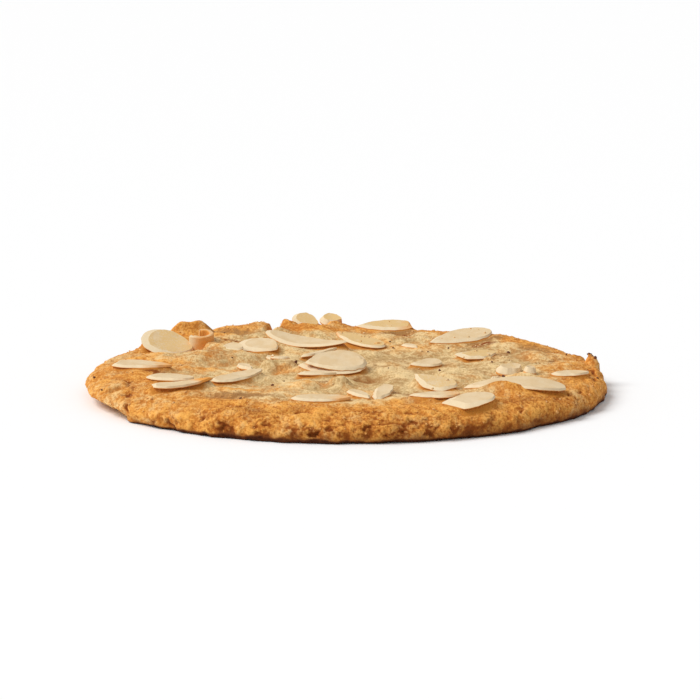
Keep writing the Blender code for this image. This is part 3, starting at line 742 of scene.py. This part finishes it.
def baseRings(foot):  # flat points under the cookie, inwards from its foot, and the number in each ring
    rings, counts = [], []
    steps = round(dough["edgeRadius"] / dough["baseSpacing"])
    for step in range(steps - 1, 0, -1):
        counts.append(round(2 * math.pi * dough["edgeRadius"] * step / steps / dough["baseSpacing"]))
        chosen = (np.arange(counts[-1]) * len(foot) / counts[-1]).astype(int)
        rings.append(foot[chosen] * step / steps)
    return np.concatenate(rings) * [1, 1, 0], counts


def doughPoints():  # every point of the skin, ring by ring, with the number in each ring and its kind
    rings = doughRings()
    counts = [count for kind, share, count in rings]
    kinds = np.repeat([kind for kind, share, count in rings], counts)
    shares = np.repeat([share for kind, share, count in rings], counts)
    places = np.concatenate([360 * np.arange(count) / count for count in counts])
    onTop, onShoulder, onFoot = (kinds == kind for kind in (topKind, shoulderKind, footKind))
    edge, depth = edgeRadius(places), dough["shoulderDepth"]

    roll = np.radians(np.where(onTop, 0, 90 * shares))
    lean = np.where(onShoulder, np.sin(roll) ** (2 / dough["shoulderPower"]), np.where(onTop, 0, 1))
    radius = np.where(onTop, shares * (edge - depth), edge - depth * (1 - lean))
    tuck = byDirection(dough["footTuck"], places)
    straight = 1 - 0.5 * fade(tuck, 3, 8)  # a foot that is tucked far in goes there in a straighter line
    radius = np.where(onFoot, edge - tuck * (1 - np.cos(roll)) ** straight, radius)
    turn = np.radians(places)
    out = np.stack([np.cos(turn), np.sin(turn), 0 * turn], 1)
    height = topHeight(out[:, 0] * radius, out[:, 1] * radius)
    height = np.where(onFoot, dough["widestAt"] * (1 - np.sin(roll)), height)
    points = out * radius[:, None] + height[:, None] * [0, 0, 1]
    reach = np.where(onFoot, 1, np.where(onShoulder, ease((lean - 0.3) / 0.6), 0))
    radius = radius + reach * byDirection(dough["edgeShare"], places) * skin(points, dough["edgeSkin"])
    lip = dough["lip"]
    lifted = np.clip(1 - (2 * (places - lip["direction"]) / lip["width"]) ** 2, 0, 1)
    lifted *= onFoot * ease((90 * shares - lip["start"]) / lip["ramp"])
    radius *= 1 + lip["reach"] * lifted / dough["edgeRadius"]
    points = out * radius[:, None]
    points[:, 2] = np.where(onFoot, height, bedded(points[:, 0], points[:, 1], height))

    base, baseCounts = baseRings(points[-counts[-1]:])
    zero = np.zeros(1)
    middle = [[0, 0, bedded(zero, zero, topHeight(zero, zero))[0]]]
    kind = np.concatenate([[topKind], kinds, np.full(len(base) + 1, baseKind)])
    return np.concatenate([middle, points, base, [[0, 0, 0]]]), counts + baseCounts, kind


def lumps(points, lumpy, rim):  # height of the top's and the rim's own relief
    size, depth = relief["rimGrain"]
    onRim = sum(depth * billows(lumpy, size, (7, 1, 5)) for size, depth in relief["rimLumps"])
    onRim += depth * waves(points, size, (2, 6, 8))
    long = lumpy * relief["topStretch"]
    onTop = sum(depth * waves(long, size, (3, 9, 1)) for size, depth in relief["topWaves"])
    onTop += sum(depth * billows(lumpy, size, (6, 2, 2)) for size, depth in relief["topLumps"])
    return onTop + (onRim - onTop) * rim


def lowOnRim(plan, points, rim):  # where the pits or patches come in
    return rim * fade(points[:, 2], *plan["below"]) * byDirection(plan["share"], polar(points)[0])


def pits(points, lumpy, rim, ragged):
    plan = relief["pits"]
    start, end = plan["noise"]
    noisy = waves(lumpy, plan["size"], (5, 5, 2)) + plan["ragged"] * ragged
    return np.clip((noisy - start) / (end - start), 0, 1) * lowOnRim(plan, points, rim)


def patches(points, lumpy, rim, ragged):
    plan = relief["patches"]
    noisy = waves(lumpy, plan["size"], (2, 2, 7)) + plan["ragged"] * ragged
    share = fade(noisy, *plan["noise"]) * lowOnRim(plan, points, rim)
    return share * np.clip(0.75 + 1.3 * ragged, 0.1, 1.3)


def holes(points, lumpy, ragged):  # depth of the pits and cracks that stand out
    deep = np.zeros(len(points))
    for x, y, z, size, depth in relief["holes"].values():
        gone = np.linalg.norm(lumpy - [x, y, z], axis=1) / size
        deep = np.maximum(deep, depth * np.clip(1 - gone * gone, 0, 1) ** 1.2)
    for line, half, depth in relief["furrows"].values():
        deep = np.maximum(deep, depth * np.clip(1 - (nearLine(lumpy, line) / half / 2) ** 2, 0, 1))
    return deep * np.clip(0.8 + 1.3 * waves(points, 1.9, (0, 0, 4)) + 0.5 * ragged, 0.1, 1.5)


baking = {  # how the dough's colour changes from place to place
    "goldFrom": (38, 54),  # the pale top turns golden between these radii
    "goldUneven": 6,  # how far that line wavers
    "goldReach": [(0, -6), (45, -3), (100, 0), (250, 0), (300, -2)],  # and how much further in (+) it lies
    "rimGold": [(0, 0.9), (60, 0.9), (120, 0.85), (175, 0.75), (215, 0.8), (240, 1), (300, 1), (332, 0.9)],
    "sideGold": [(0, 0.2), (130, 0.35), (180, 0.4), (230, 0.3)],  # a little gold further in
    "sideGoldFrom": (20, 36),
    "topCreviceShade": 0.14,  # how dark the painted crevice shade is on the top, against that of the rim
    "patches": 0.62,
    # rim darker brown by direction: partly real browning, partly painted shade on the front and right, away
    # from the sun
    "scorchAndShade": [
        (0, 0.05), (200, 0), (236, 0.08), (250, 0.36), (268, 0.15), (287, 0.30), (301, 0.36), (317, 0.28),
        (335, 0.15),
    ],
    "blackFoot": [  # heights up to which the foot is black: painted contact shadow with the table, over a dark baked base
        (0, 0.7), (150, 0.4), (190, 0.15), (220, 0.5), (240, 1.7), (255, 1.8), (275, 1.2), (300, 1),
        (335, 1.1),
    ],
    "brownFoot": [(0, 2.6), (90, 2.0), (180, 1.2), (230, 1.6), (275, 2.8), (305, 4.6), (335, 4.0)],
    "tray": 0.40,  # how brown the underside is
    "shadeRight": 0.22,  # painted shade: the top is duller towards the right, the side away from the sun
    "dullSpots": 0.25,
    "caramelOutside": (1.1, 0.1),  # the caramel and painted shade beside a flake come in between these distances
    "caramelInside": (-1.2, -0.4),
    "hollows": {  # painted shade: hollows, shaded sides of lumps and places under flakes made browner and duller, with how strongly
        "frontLeft": (-25, -37.5, 26, 11, -8, 1.2),
        "byCoveredFlake": (-13.0, 2.5, 8, 6, 25, 0.7),
        "middle": (4.5, -11, 15, 8, -25, 1.0),
        "rightOfUpright": (15.5, -37, 8, 7, 60, 0.8),
        "backDark": (15, 49, 13, 9, 10, 1.3),
        "underBackRight": (36, 33, 17, 7, 20, 1.2),
        "rightOfDusted": (41, 16, 7, 6, 0, 0.9),
        "rightBack": (50, 21, 22, 14, -30, 0.8),
        "backRidge": (-30.5, 40, 24, 15, -18, 1.25),
        "underLeftEdge": (-49.5, -6.5, 12, 4, -18, 1.0),
        "leftPits": (-54, -24, 6, 13, 10, 0.6),
        "leftMound": (-33, 8, 34, 24, 15, -0.8),
        "rightOfStack": (12, 10, 34, 34, 0, 0.3),
    },
    "gold": {  # patches of the top that are as golden as the rim
        "backOfMiddle": (-8, 47, 34, 12, 0, 0.55),
        "frontLump": (-8.5, -21.5, 17, 12, 0, 0.7),
        "rightLump": (40, -33, 22, 12, -20, 0.7),
        "backRight": (24, 48, 14, 8, 0, 0.7),
        "rightEdge": (57, -15, 14, 10, 60, 0.6),
        "leftMound": (-33, 8, 34, 24, 15, 0.15),
        "coveredFront": (-15.5, -3.0, 15, 11, 22, 0.6),
        "leftFrontRidge": (-26, -31, 22, 5, 0, 0.6),
    },
    "darkBrown": {  # small dark brown places: mostly painted shadow under flakes and in hollows, some real dark spots
        "back": (13, 44.5, 14, 10, 0, 1.3),
        "underBackRight": (36, 28.5, 13, 9, 20, 1.2),
        "middleGap": (-5.5, -17, 7, 3.5, 0, 0.8),
        "underMiddle": (-8, -9, 18, 3, 0, 0.35),
        "middle": (4, -11.5, 11, 6, -20, 0.35),
        "underMiddleRight": (0.5, -8.3, 7, 3, 0, 0.9),
        "rightOfUpright": (13.3, -34, 6, 7, 60, 0.9),
        "underLeftEdge": (-48.0, -8.8, 11, 4.5, -14, 1.5),
        "frontLeft": (-27, -37.5, 16, 7, -10, 0.25),
        "rightOfDusted": (40, 14, 5, 6, 0, 0.7),
        "backLeft": (-31.0, 29.5, 15, 5, -8, 0.9),
        "byLeftLump": (-36, 24, 5, 4, 0, 0.5),
    },
}


def besideFlakes(x, y):  # how free of flakes each place is, how far off they are, and the caramel with painted shade by them
    free, gap, caramel = np.ones(len(x)), np.full(len(x), farOff), np.zeros(len(x))
    for one in flakes.values():
        beyond = pastEdge(one, x, y)
        free = np.minimum(free, fade(beyond, *relief["byFlakes"]))
        gap = np.minimum(gap, beyond)
        front = 0.45 + 0.55 * np.clip((one["y"] - y) / (0.3 * one["width"]), -0.6, 1)  # painted shade under its front edge; less behind it
        beside = fade(beyond, *baking["caramelOutside"]) * fade(beyond, *baking["caramelInside"])
        caramel = np.maximum(caramel, front * beside)
    return free, gap, caramel


def creviceMark(points, out, patch, rim, ragged):  # painted shade in cracks and crevices, with burnt patches, dark brown places and the rim's scorch, partly painted shade
    onTop = baking["topCreviceShade"]
    # darker the deeper the relief dips: painted shade
    deep = np.clip(-out / 0.55 - 0.22, 0, 1.1) * (onTop + (1 - onTop) * rim)
    # dark brown places, mostly painted shadow under flakes and in hollows
    darkBrown = swellsAt(points, baking["darkBrown"]) * np.clip(0.8 + 1.1 * ragged, 0.1, 1.6)
    scorchAndShade = byDirection(baking["scorchAndShade"], polar(points)[0]) * rim
    scorchAndShade *= np.clip(1 + 1.6 * waves(points, 8, (1, 8, 1)), 0.1, 2)
    return np.maximum(deep, baking["patches"] * patch) + darkBrown + scorchAndShade


def browningMark(points, rim, uneven):  # from the pale middle to the golden rim
    angle, radius = polar(points)
    line = radius + baking["goldUneven"] * uneven + byDirection(baking["goldReach"], angle)
    golden = fade(line, *baking["goldFrom"]) * (1 + (byDirection(baking["rimGold"], angle) - 1) * rim)
    side = byDirection(baking["sideGold"], angle) * fade(radius, *baking["sideGoldFrom"])
    return np.maximum(golden, side + 0.25 * uneven) + swellsAt(points, baking["gold"])


def hollowShadeMark(points, rim, ragged):  # painted shade: duller brown in hollows, under flakes and towards the right, with random duller spots
    low = swellsAt(points, baking["hollows"]) * (1 - 0.6 * (polar(points)[1] > 58)) * (1 + 0.7 * ragged)
    dull = baking["shadeRight"] * fade(points[:, 0], -4, 16)
    dull += baking["dullSpots"] * fade(waves(points, 7, (5, 1, 8)), 0.1, 0.5)
    return low + dull * (1 - rim)


def footMark(points, height, pit, onBase):  # brown, then black, down to the foot, the black partly painted contact shadow; darker in pits as painted shade; and the underside
    angle, radius = polar(points)
    black, brown = byDirection(baking["blackFoot"], angle), byDirection(baking["brownFoot"], angle)
    blackened = fade(height + 0.5 * waves(points, 2.5), black, 0.4 * black)
    browned = 0.62 * fade(height + 0.7 * waves(points, 3.5), brown, 0.0)
    tray = baking["tray"] + 0.22 * waves(points, 9) + 0.16 * waves(points, 3) + 0.12 * fade(radius, 40, 60)
    return np.where(onBase, tray, np.maximum(np.maximum(blackened, browned), 0.3 * pit))


def makeDough():
    points, counts, kind = doughPoints()
    faces = outwardFaces(points, ringSkin(counts))
    x, y, z = points.T
    angle, radius = polar(points)
    onBase = kind == baseKind
    split = notchShare(points)
    z += swellsAt(points, dough["blocks"]) * (kind < footKind) * (1 - split)
    normals = pointNormals(points, faces)
    rim = np.where(onBase, 0, fade(radius, *relief["rimFrom"]))
    free, gap, caramel = besideFlakes(x, y)
    covered = np.where(onBase, 0, swellsAt(points, dough["covers"]))
    free = np.maximum(free, np.clip(covered / 1.2, 0, 1)) * ~onBase

    lumpy = pushed(points, *relief["push"], (4, 2, 9))
    ragged = waves(points, relief["raggedSize"], (3, 3, 3))
    pit, patch = pits(points, lumpy, rim, ragged), patches(points, lumpy, rim, ragged)
    hole = holes(points, lumpy, ragged)
    out = lumps(points, lumpy, rim) * free
    out = np.where(out > 0, out * fade(gap, *relief["lumpsByFlakes"]), out)
    out *= 1 - relief["lostInSplit"] * split
    out *= 1 + (byDirection(relief["roughness"], angle) - 1) * rim
    out *= relief["atFoot"] + (1 - relief["atFoot"]) * fade(z, 0, relief["cleanFoot"])
    out -= (relief["pits"]["depth"] * pit + relief["patches"]["depth"] * patch + hole) * ~onBase
    moved = points + normals * out[:, None]
    moved[:, 2] += covered
    dents = 0.12 + 0.14 * waves(points, 2.2, (1, 4, 4)) + 0.1 * waves(points, 5, (1, 4, 4))
    moved[:, 2] = np.where(onBase, np.clip(dents, 0, 0.4) * fade(radius, 63, 56), moved[:, 2])
    moved[:, 2] = np.clip(moved[:, 2], 0, cadBox[1][2] / mm + spare)

    rim = np.maximum(rim, fade(hole, 0.1, 0.5))
    uneven = waves(points, 11, (8, 8, 1))
    browning = np.where(onBase, 0.7 + 0.35 * uneven, browningMark(points, rim, uneven))
    newPiece("dough", moved, faces, doughPaint, "dough", "cookie", browning=browning,
             hollow=hollowShadeMark(points, rim, ragged) * ~onBase,
             crevice=creviceMark(points, out, patch, rim, ragged) * ~onBase,
             # crest: the relief's height, which the material turns into painted highlight
             crest=np.clip(out / 0.35, -1, 1), foot=footMark(points, moved[:, 2], pit, onBase),
             caramel=caramel * (covered < 0.2) * ~onBase)
    print("dough:", len(points), "points,", len(faces), "triangles, z to", moved[:, 2].max().round(2))
    return moved, faces, browning


doughSkin, doughFaces, doughBrowning = makeDough()
doughTree = BVHTree.FromPolygons(doughSkin.tolist(), doughFaces.tolist())
almondTrees = []
almondSkins = {}


def heightBelow(trees, x, y):  # of the highest of these surfaces under each place
    found = []
    for px, py in zip(x, y):
        hits = [tree.ray_cast(Vector((px, py, 40)), Vector((0, 0, -1)))[0] for tree in trees]
        found.append(max((hit.z for hit in hits if hit), default=-10.0))
    return np.array(found)


almondShape = {
    "around": 84,
    "clear": 0.03,  # over the almond under it
    "warp": (5.0, 0.14),  # size and depth of its waviness
    "ripple": (1.6, 0.05),
    "cup": 0.12,  # how far its middle is hollow
    "crisp": 13,  # degrees between faces that make an edge look sharp
    "slopeLeast": 0.12,  # the sloping edge's width on its narrow side, against its widest
    "slopeMost": 0.4,  # and its limit, against the flake's own size there
    # Rings from the middle of the face, down the sloping edge and back under the flake: share of the outline,
    # share of the thickness, how far across the slope, and 1 where it is slope
    "rings": [
        (0.22, 1, 0, 0), (0.45, 1, 0, 0), (0.66, 1, 0, 0), (0.84, 1, 0, 0), (0.94, 1, 0, 0), (1, 1, 0, 0),
        (1, 0.97, 0.04, 1), (1, 0.66, 0.5, 1), (1, 0.34, 0.97, 1), (1, 0.30, 1, 1), (1, 0.08, 1, 1),
        (0.975, 0, 1, 0), (0.7, 0, 1, 0), (0.35, 0, 1, 0),
    ],
}


def makeAlmond(name, one, replaced):
    around, rings = almondShape["around"], almondShape["rings"]
    turn = 2 * math.pi * (np.arange(around) + 0.5) / around
    along, across = outline(one, turn)
    facing = np.arctan2(across, along) + math.radians(one["turn"] - one["slant"])
    least = almondShape["slopeLeast"]
    slope = one["bevel"] * (least + (1 - least) * ease(0.5 + 0.6 * np.cos(facing))) / np.hypot(along, across)
    slope = np.minimum(slope, almondShape["slopeMost"])
    flat, shares, bands, ups = [[0, 0]], [0], [0], [1]
    for share, up, over, band in rings:
        inset = share * (1 - slope * (1 - over))
        flat += np.stack([along * inset, across * inset], 1).tolist()
        shares += [share] * around
        bands += [band] * around
        ups += [up] * around
    flat = np.array(flat + [[0, 0]], float)
    shares, bands, ups = (np.array(values + [0], float) for values in (shares, bands, ups))
    cosTurn, sinTurn = math.cos(math.radians(one["turn"])), math.sin(math.radians(one["turn"]))
    x = one["x"] + flat[:, 0] * cosTurn - flat[:, 1] * sinTurn
    y = one["y"] + flat[:, 0] * sinTurn + flat[:, 1] * cosTurn
    low = np.maximum(underside(one, x, y), heightBelow(almondTrees, x, y) + almondShape["clear"])
    place = np.stack([x, y, 0 * x], 1)
    size, depth = almondShape["warp"]
    warp = depth * waves(place, size, (one["x"], 0, 3))
    size, depth = almondShape["ripple"]
    warp += depth * waves(place, size, (0, one["x"], 3)) - almondShape["cup"] * one["thick"] * (1 - shares**2)
    points = np.stack([x, y, low + (one["thick"] + warp) * ups], 1)
    faces = outwardFaces(points, ringSkin([around] * len(rings)))
    end = 2 * flat[:, 0] / one["length"] * np.sign(one["toast"] or 1)
    toast = abs(one["toast"]) * fade(end + 0.35 * waves(place, 3, (9, 0, 0)), 0.0, 1.0)
    toast += 0.9 * fade(ups, 0.36, 0.2) + 0.10 * fade(shares, 0.8, 1.0)
    spotted = 0.5 + 0.5 * fade(waves(place, 3.2, (0, one["y"], 0)) + one["dust"], 0.1, 0.7)
    dust = one["dust"] * spotted * (ups > 0.5) * (1 - 0.7 * bands)
    newPiece("almond_" + name, points, faces, almondPaint, "almond", replaced, almondShape["crisp"],
             band=bands, toast=toast, dust=dust)
    almondTrees.append(BVHTree.FromPolygons(points.tolist(), faces.tolist()))
    almondSkins[name] = (points, faces)


for name, one in flakes.items():
    makeAlmond(name, one, name)
print("flakes:", len(flakes))

# Small shards stuck in the dough, with how far each stands above it
shards = {
    "shardByInnerFlake": (flake(-29.6, 19.3, 6.5, 5.5, -30, roll=10), 0.8),
    "shardForkLong": (flake(-16.9, 7.4, 5.0, 2.2, -8), 1.5),
    "shardForkShort": (flake(-19.4, 9.8, 5.0, 1.6, -70), 1.6),
    "chunkRight": (flake(40.4, -9.0, 7.2, 5.2, 30, roll=12, thick=1.9, bevel=2.4, slant=190, dust=0.4), 2.0),
    "chipRight": (flake(45.4, -10.6, 4.2, 3.2, 80, roll=10, thick=1.7, bevel=1.6), 1.5),
    "bitRight": (flake(36.6, -14.5, 2.2, 1.6, 0), 0.5),
    "shardBackRight": (flake(16.6, 28.5, 6.0, 2.4, -50, dust=0.3), 0.5),
    "chipBackRim": (flake(-4.3, 58.0, 6.3, 4.8, -15, pitch=-6, roll=18, thick=1.5, toast=0.6, dust=1.0), 1.5),
}
for name, (one, rise) in shards.items():
    ground = heightBelow([doughTree], [one["x"]], [one["y"]])[0]
    one["seat"] = ground + rise - one["thick"]
    makeAlmond(name, one, "cookie")
print("shards:", len(shards))

curl = {  # a toasted sliver curled round on itself, on the lump at the back left
    "centre": (-37.4, 27.5, 10.35),  # of its upper edge
    "radii": (2.0, 1.7),
    "sweep": (-195, 125),  # degrees, from the loose front end round to the back
    "loose": 0.6,  # how far the front end swings out, as a share of the radius
    "leaning": 17,  # degrees that it leans to the front
    "thick": 1.3,
    "height": 2.2,
    "sunk": 0.5,  # into the dough
    "waver": 0.2,  # of the upper edge
    "droop": 0.9,  # of its loose end
    "flare": 0.1,  # how far the upper edge turns out
    "steps": 44,
}


def makeCurl(one):
    steps = one["steps"]
    turn = np.radians(np.linspace(*one["sweep"], steps))
    way = np.linspace(0, 1, steps)
    outward = np.stack([np.cos(turn), np.sin(turn)], 1)
    swing = 1 + one["loose"] * (1 - fade(way, 0, 0.45))
    dx, dy = (outward * one["radii"] * swing[:, None]).T
    x, y = one["centre"][0] + dx, one["centre"][1] + dy
    top = one["centre"][2] + dy * math.tan(math.radians(one["leaning"]))
    top = top + one["waver"] * waves(np.stack([x, y, 0 * x], 1), 2) - one["droop"] * (1 - fade(way, 0, 0.2))
    low = np.minimum(top - one["height"], heightBelow([doughTree], x, y) - one["sunk"])
    narrow = np.sqrt(np.clip(np.minimum(np.arange(steps), np.arange(steps)[::-1]) / 3, 0.3, 1))
    points = []
    for across, up in ((-0.5, 0), (-0.5, 0.9), (-0.25, 1), (0.25, 1), (0.5, 0.9), (0.5, 0)):
        shift = outward * (one["thick"] * across * narrow + one["flare"] * up)[:, None]
        points.append(np.stack([x + shift[:, 0], y + shift[:, 1], low + (top - low) * up], 1))
    ring = np.stack(points, 1)  # step, corner, coordinate
    skinPoints = np.concatenate([ring[:1].mean(1), ring.reshape(-1, 3), ring[-1:].mean(1)])
    faces = outwardFaces(skinPoints, ringSkin([6] * steps))
    inside = np.tile([1, 1, 0.4, 0, 0, 0], steps)  # at each corner of a step, in the order above
    upper = np.tile([0, 0.4, 1, 1, 0.5, 0], steps)
    along = np.repeat(way, 6)
    toast = np.concatenate([[0], (0.85 - 0.4 * upper) * fade(along, 0.05, 0.3) + 0.3 * inside, [0.6]])
    newPiece("almond_curl", skinPoints, faces, almondPaint, "almond", "cookie", almondShape["crisp"],
             band=0.5 * (toast < 0.3), toast=toast, dust=0 * toast)


makeCurl(curl)
print("curl ready")

crumbs = {
    "seed": 7,
    "fine": dict(count=900, size=(0.12, 0.26), sides=0),
    "coarse": dict(count=50, size=(0.26, 0.42), sides=1),
    "rimShare": 1.0,  # how thickly they lie on the rim and on the top
    "topShare": 0.30,
    "sunk": 0.35,  # of its radius, into what it lies on
    "uneven": 0.28,  # how far its corners are pushed in and out
    "dustSize": (0.15, 0.45),  # of those on flakes
    "onFlakes": {"flake_back_right": 7, "flake_back_dusted": 7, "flake_right_dusted": 8, "flake_back_rim": 3,
                 "flake_right_shield": 3},
    "speckRadius": 0.38,  # against the size below
    "specks": [  # dark specks: place and size
        (-63.6, -9, 1.0), (-60.7, -24, 0.9), (-32.2, 35.2, 0.9), (-35.4, 16.6, 0.8), (-28.8, 7.6, 0.7),
        (-25, -40.6, 0.9), (-18.5, -21.8, 1.1), (-15.5, -15.6, 0.6), (-12.0, 2.2, 1.3), (1.9, 0.2, 0.5),
        (10.4, -0.9, 0.5), (11.5, 34, 0.9), (12.4, 28.1, 0.8), (21.1, 21, 0.8), (22.7, -3.6, 1.1),
        (26.2, 24, 0.8), (36.7, 2.2, 0.9), (38.3, -13.5, 1.3), (42, 17.9, 1.2), (44, -31.1, 0.7),
        (63.2, -9.6, 0.8), (61.2, 10.8, 1.3), (60.2, 9.4, 1.0), (63.4, 7.6, 1.3), (63.8, 6.4, 1.0),
        (62.6, 8.4, 0.9), (56.5, 14.5, 0.9),
    ],
}


def roundShape(sides):  # points and triangles of a small ball
    made = bpy.data.meshes.new("ball")
    work = bmesh.new()
    bmesh.ops.create_icosphere(work, subdivisions=sides + 1, radius=1)
    work.to_mesh(made)
    work.free()
    points = np.array([corner.co[:] for corner in made.vertices])
    faces = np.array([face.vertices[:] for face in made.polygons])
    bpy.data.meshes.remove(made)
    return points, faces


def turned(draw):  # a random rotation
    return np.linalg.qr(draw.normal(size=(3, 3)))[0]


def scatter(draw, points, faces, weight, count):  # random places on a surface, with their normals and faces
    flat = faceVectors(points, faces)
    size = np.linalg.norm(flat, axis=1)
    share = size * weight
    chosen = draw.choice(len(faces), count, p=share / share.sum())
    mixed = draw.dirichlet((1, 1, 1), count)
    places = sum(points[faces[chosen, k]] * mixed[:, k:k + 1] for k in range(3))
    return places, flat[chosen] / np.maximum(size[chosen, None], 1e-9), chosen


def makeCrumbs(plan):
    draw = np.random.default_rng(plan["seed"])
    middle = doughSkin[doughFaces].mean(1)
    radius = np.hypot(middle[:, 0], middle[:, 1])
    weight = plan["topShare"] + (plan["rimShare"] - plan["topShare"]) * fade(radius, 46, 56)
    weight *= fade(middle[:, 2], 1.8, 3.4)
    for one in flakes.values():
        weight *= fade(pastEdge(one, middle[:, 0], middle[:, 1]), 0.1, 0.5)
    allPoints, allFaces, allTones, start = [], [], [], 0

    def add(place, normal, size, tone, shape, flatness=0.75):
        nonlocal start
        points, faces = shape
        uneven = 1 + plan["uneven"] * draw.normal(size=(len(points), 1)).clip(-1.5, 1.5)
        shaped = (points * uneven * [1, draw.uniform(0.7, 1), flatness]) @ turned(draw) * size
        allPoints.append(shaped + place + normal * size * (1 - 2 * plan["sunk"]) * 0.5)
        allFaces.append(faces + start)
        allTones.append(np.full(len(points), tone))
        start += len(points)

    for kind in ("fine", "coarse"):
        shape = roundShape(plan[kind]["sides"])
        places, normals, chosen = scatter(draw, doughSkin, doughFaces, weight, plan[kind]["count"])
        tones = doughBrowning[doughFaces[chosen, 0]] + draw.normal(0, 0.15, len(chosen))
        for place, normal, tone in zip(places, normals, tones):
            add(place, normal, draw.uniform(*plan[kind]["size"]), min(tone, 1.1), shape)
    small = roundShape(0)
    for name, count in plan["onFlakes"].items():
        points, faces = almondSkins[name]
        up = faceVectors(points, faces)[:, 2] > 0
        places, normals, chosen = scatter(draw, points, faces, up * 1.0, count)
        for place, normal in zip(places, normals):
            add(place, normal, draw.uniform(*plan["dustSize"]), draw.uniform(0, 0.9), small)
    ball = roundShape(1)
    for x, y, size in plan["specks"]:
        hit, normal = doughTree.find_nearest(Vector((x, y, 8)))[:2]
        add(np.array(hit), np.array(normal), plan["speckRadius"] * size, 2.0, ball, 0.6)
    points, faces, tones = np.concatenate(allPoints), np.concatenate(allFaces), np.concatenate(allTones)
    points[:, 2] = np.clip(points[:, 2], 0, cadBox[1][2] / mm + spare)
    newPiece("crumbs", points, faces, crumbPaint, "dough", "cookie", tone=tones)
    print("crumbs:", len(faces), "triangles")


makeCrumbs(crumbs)
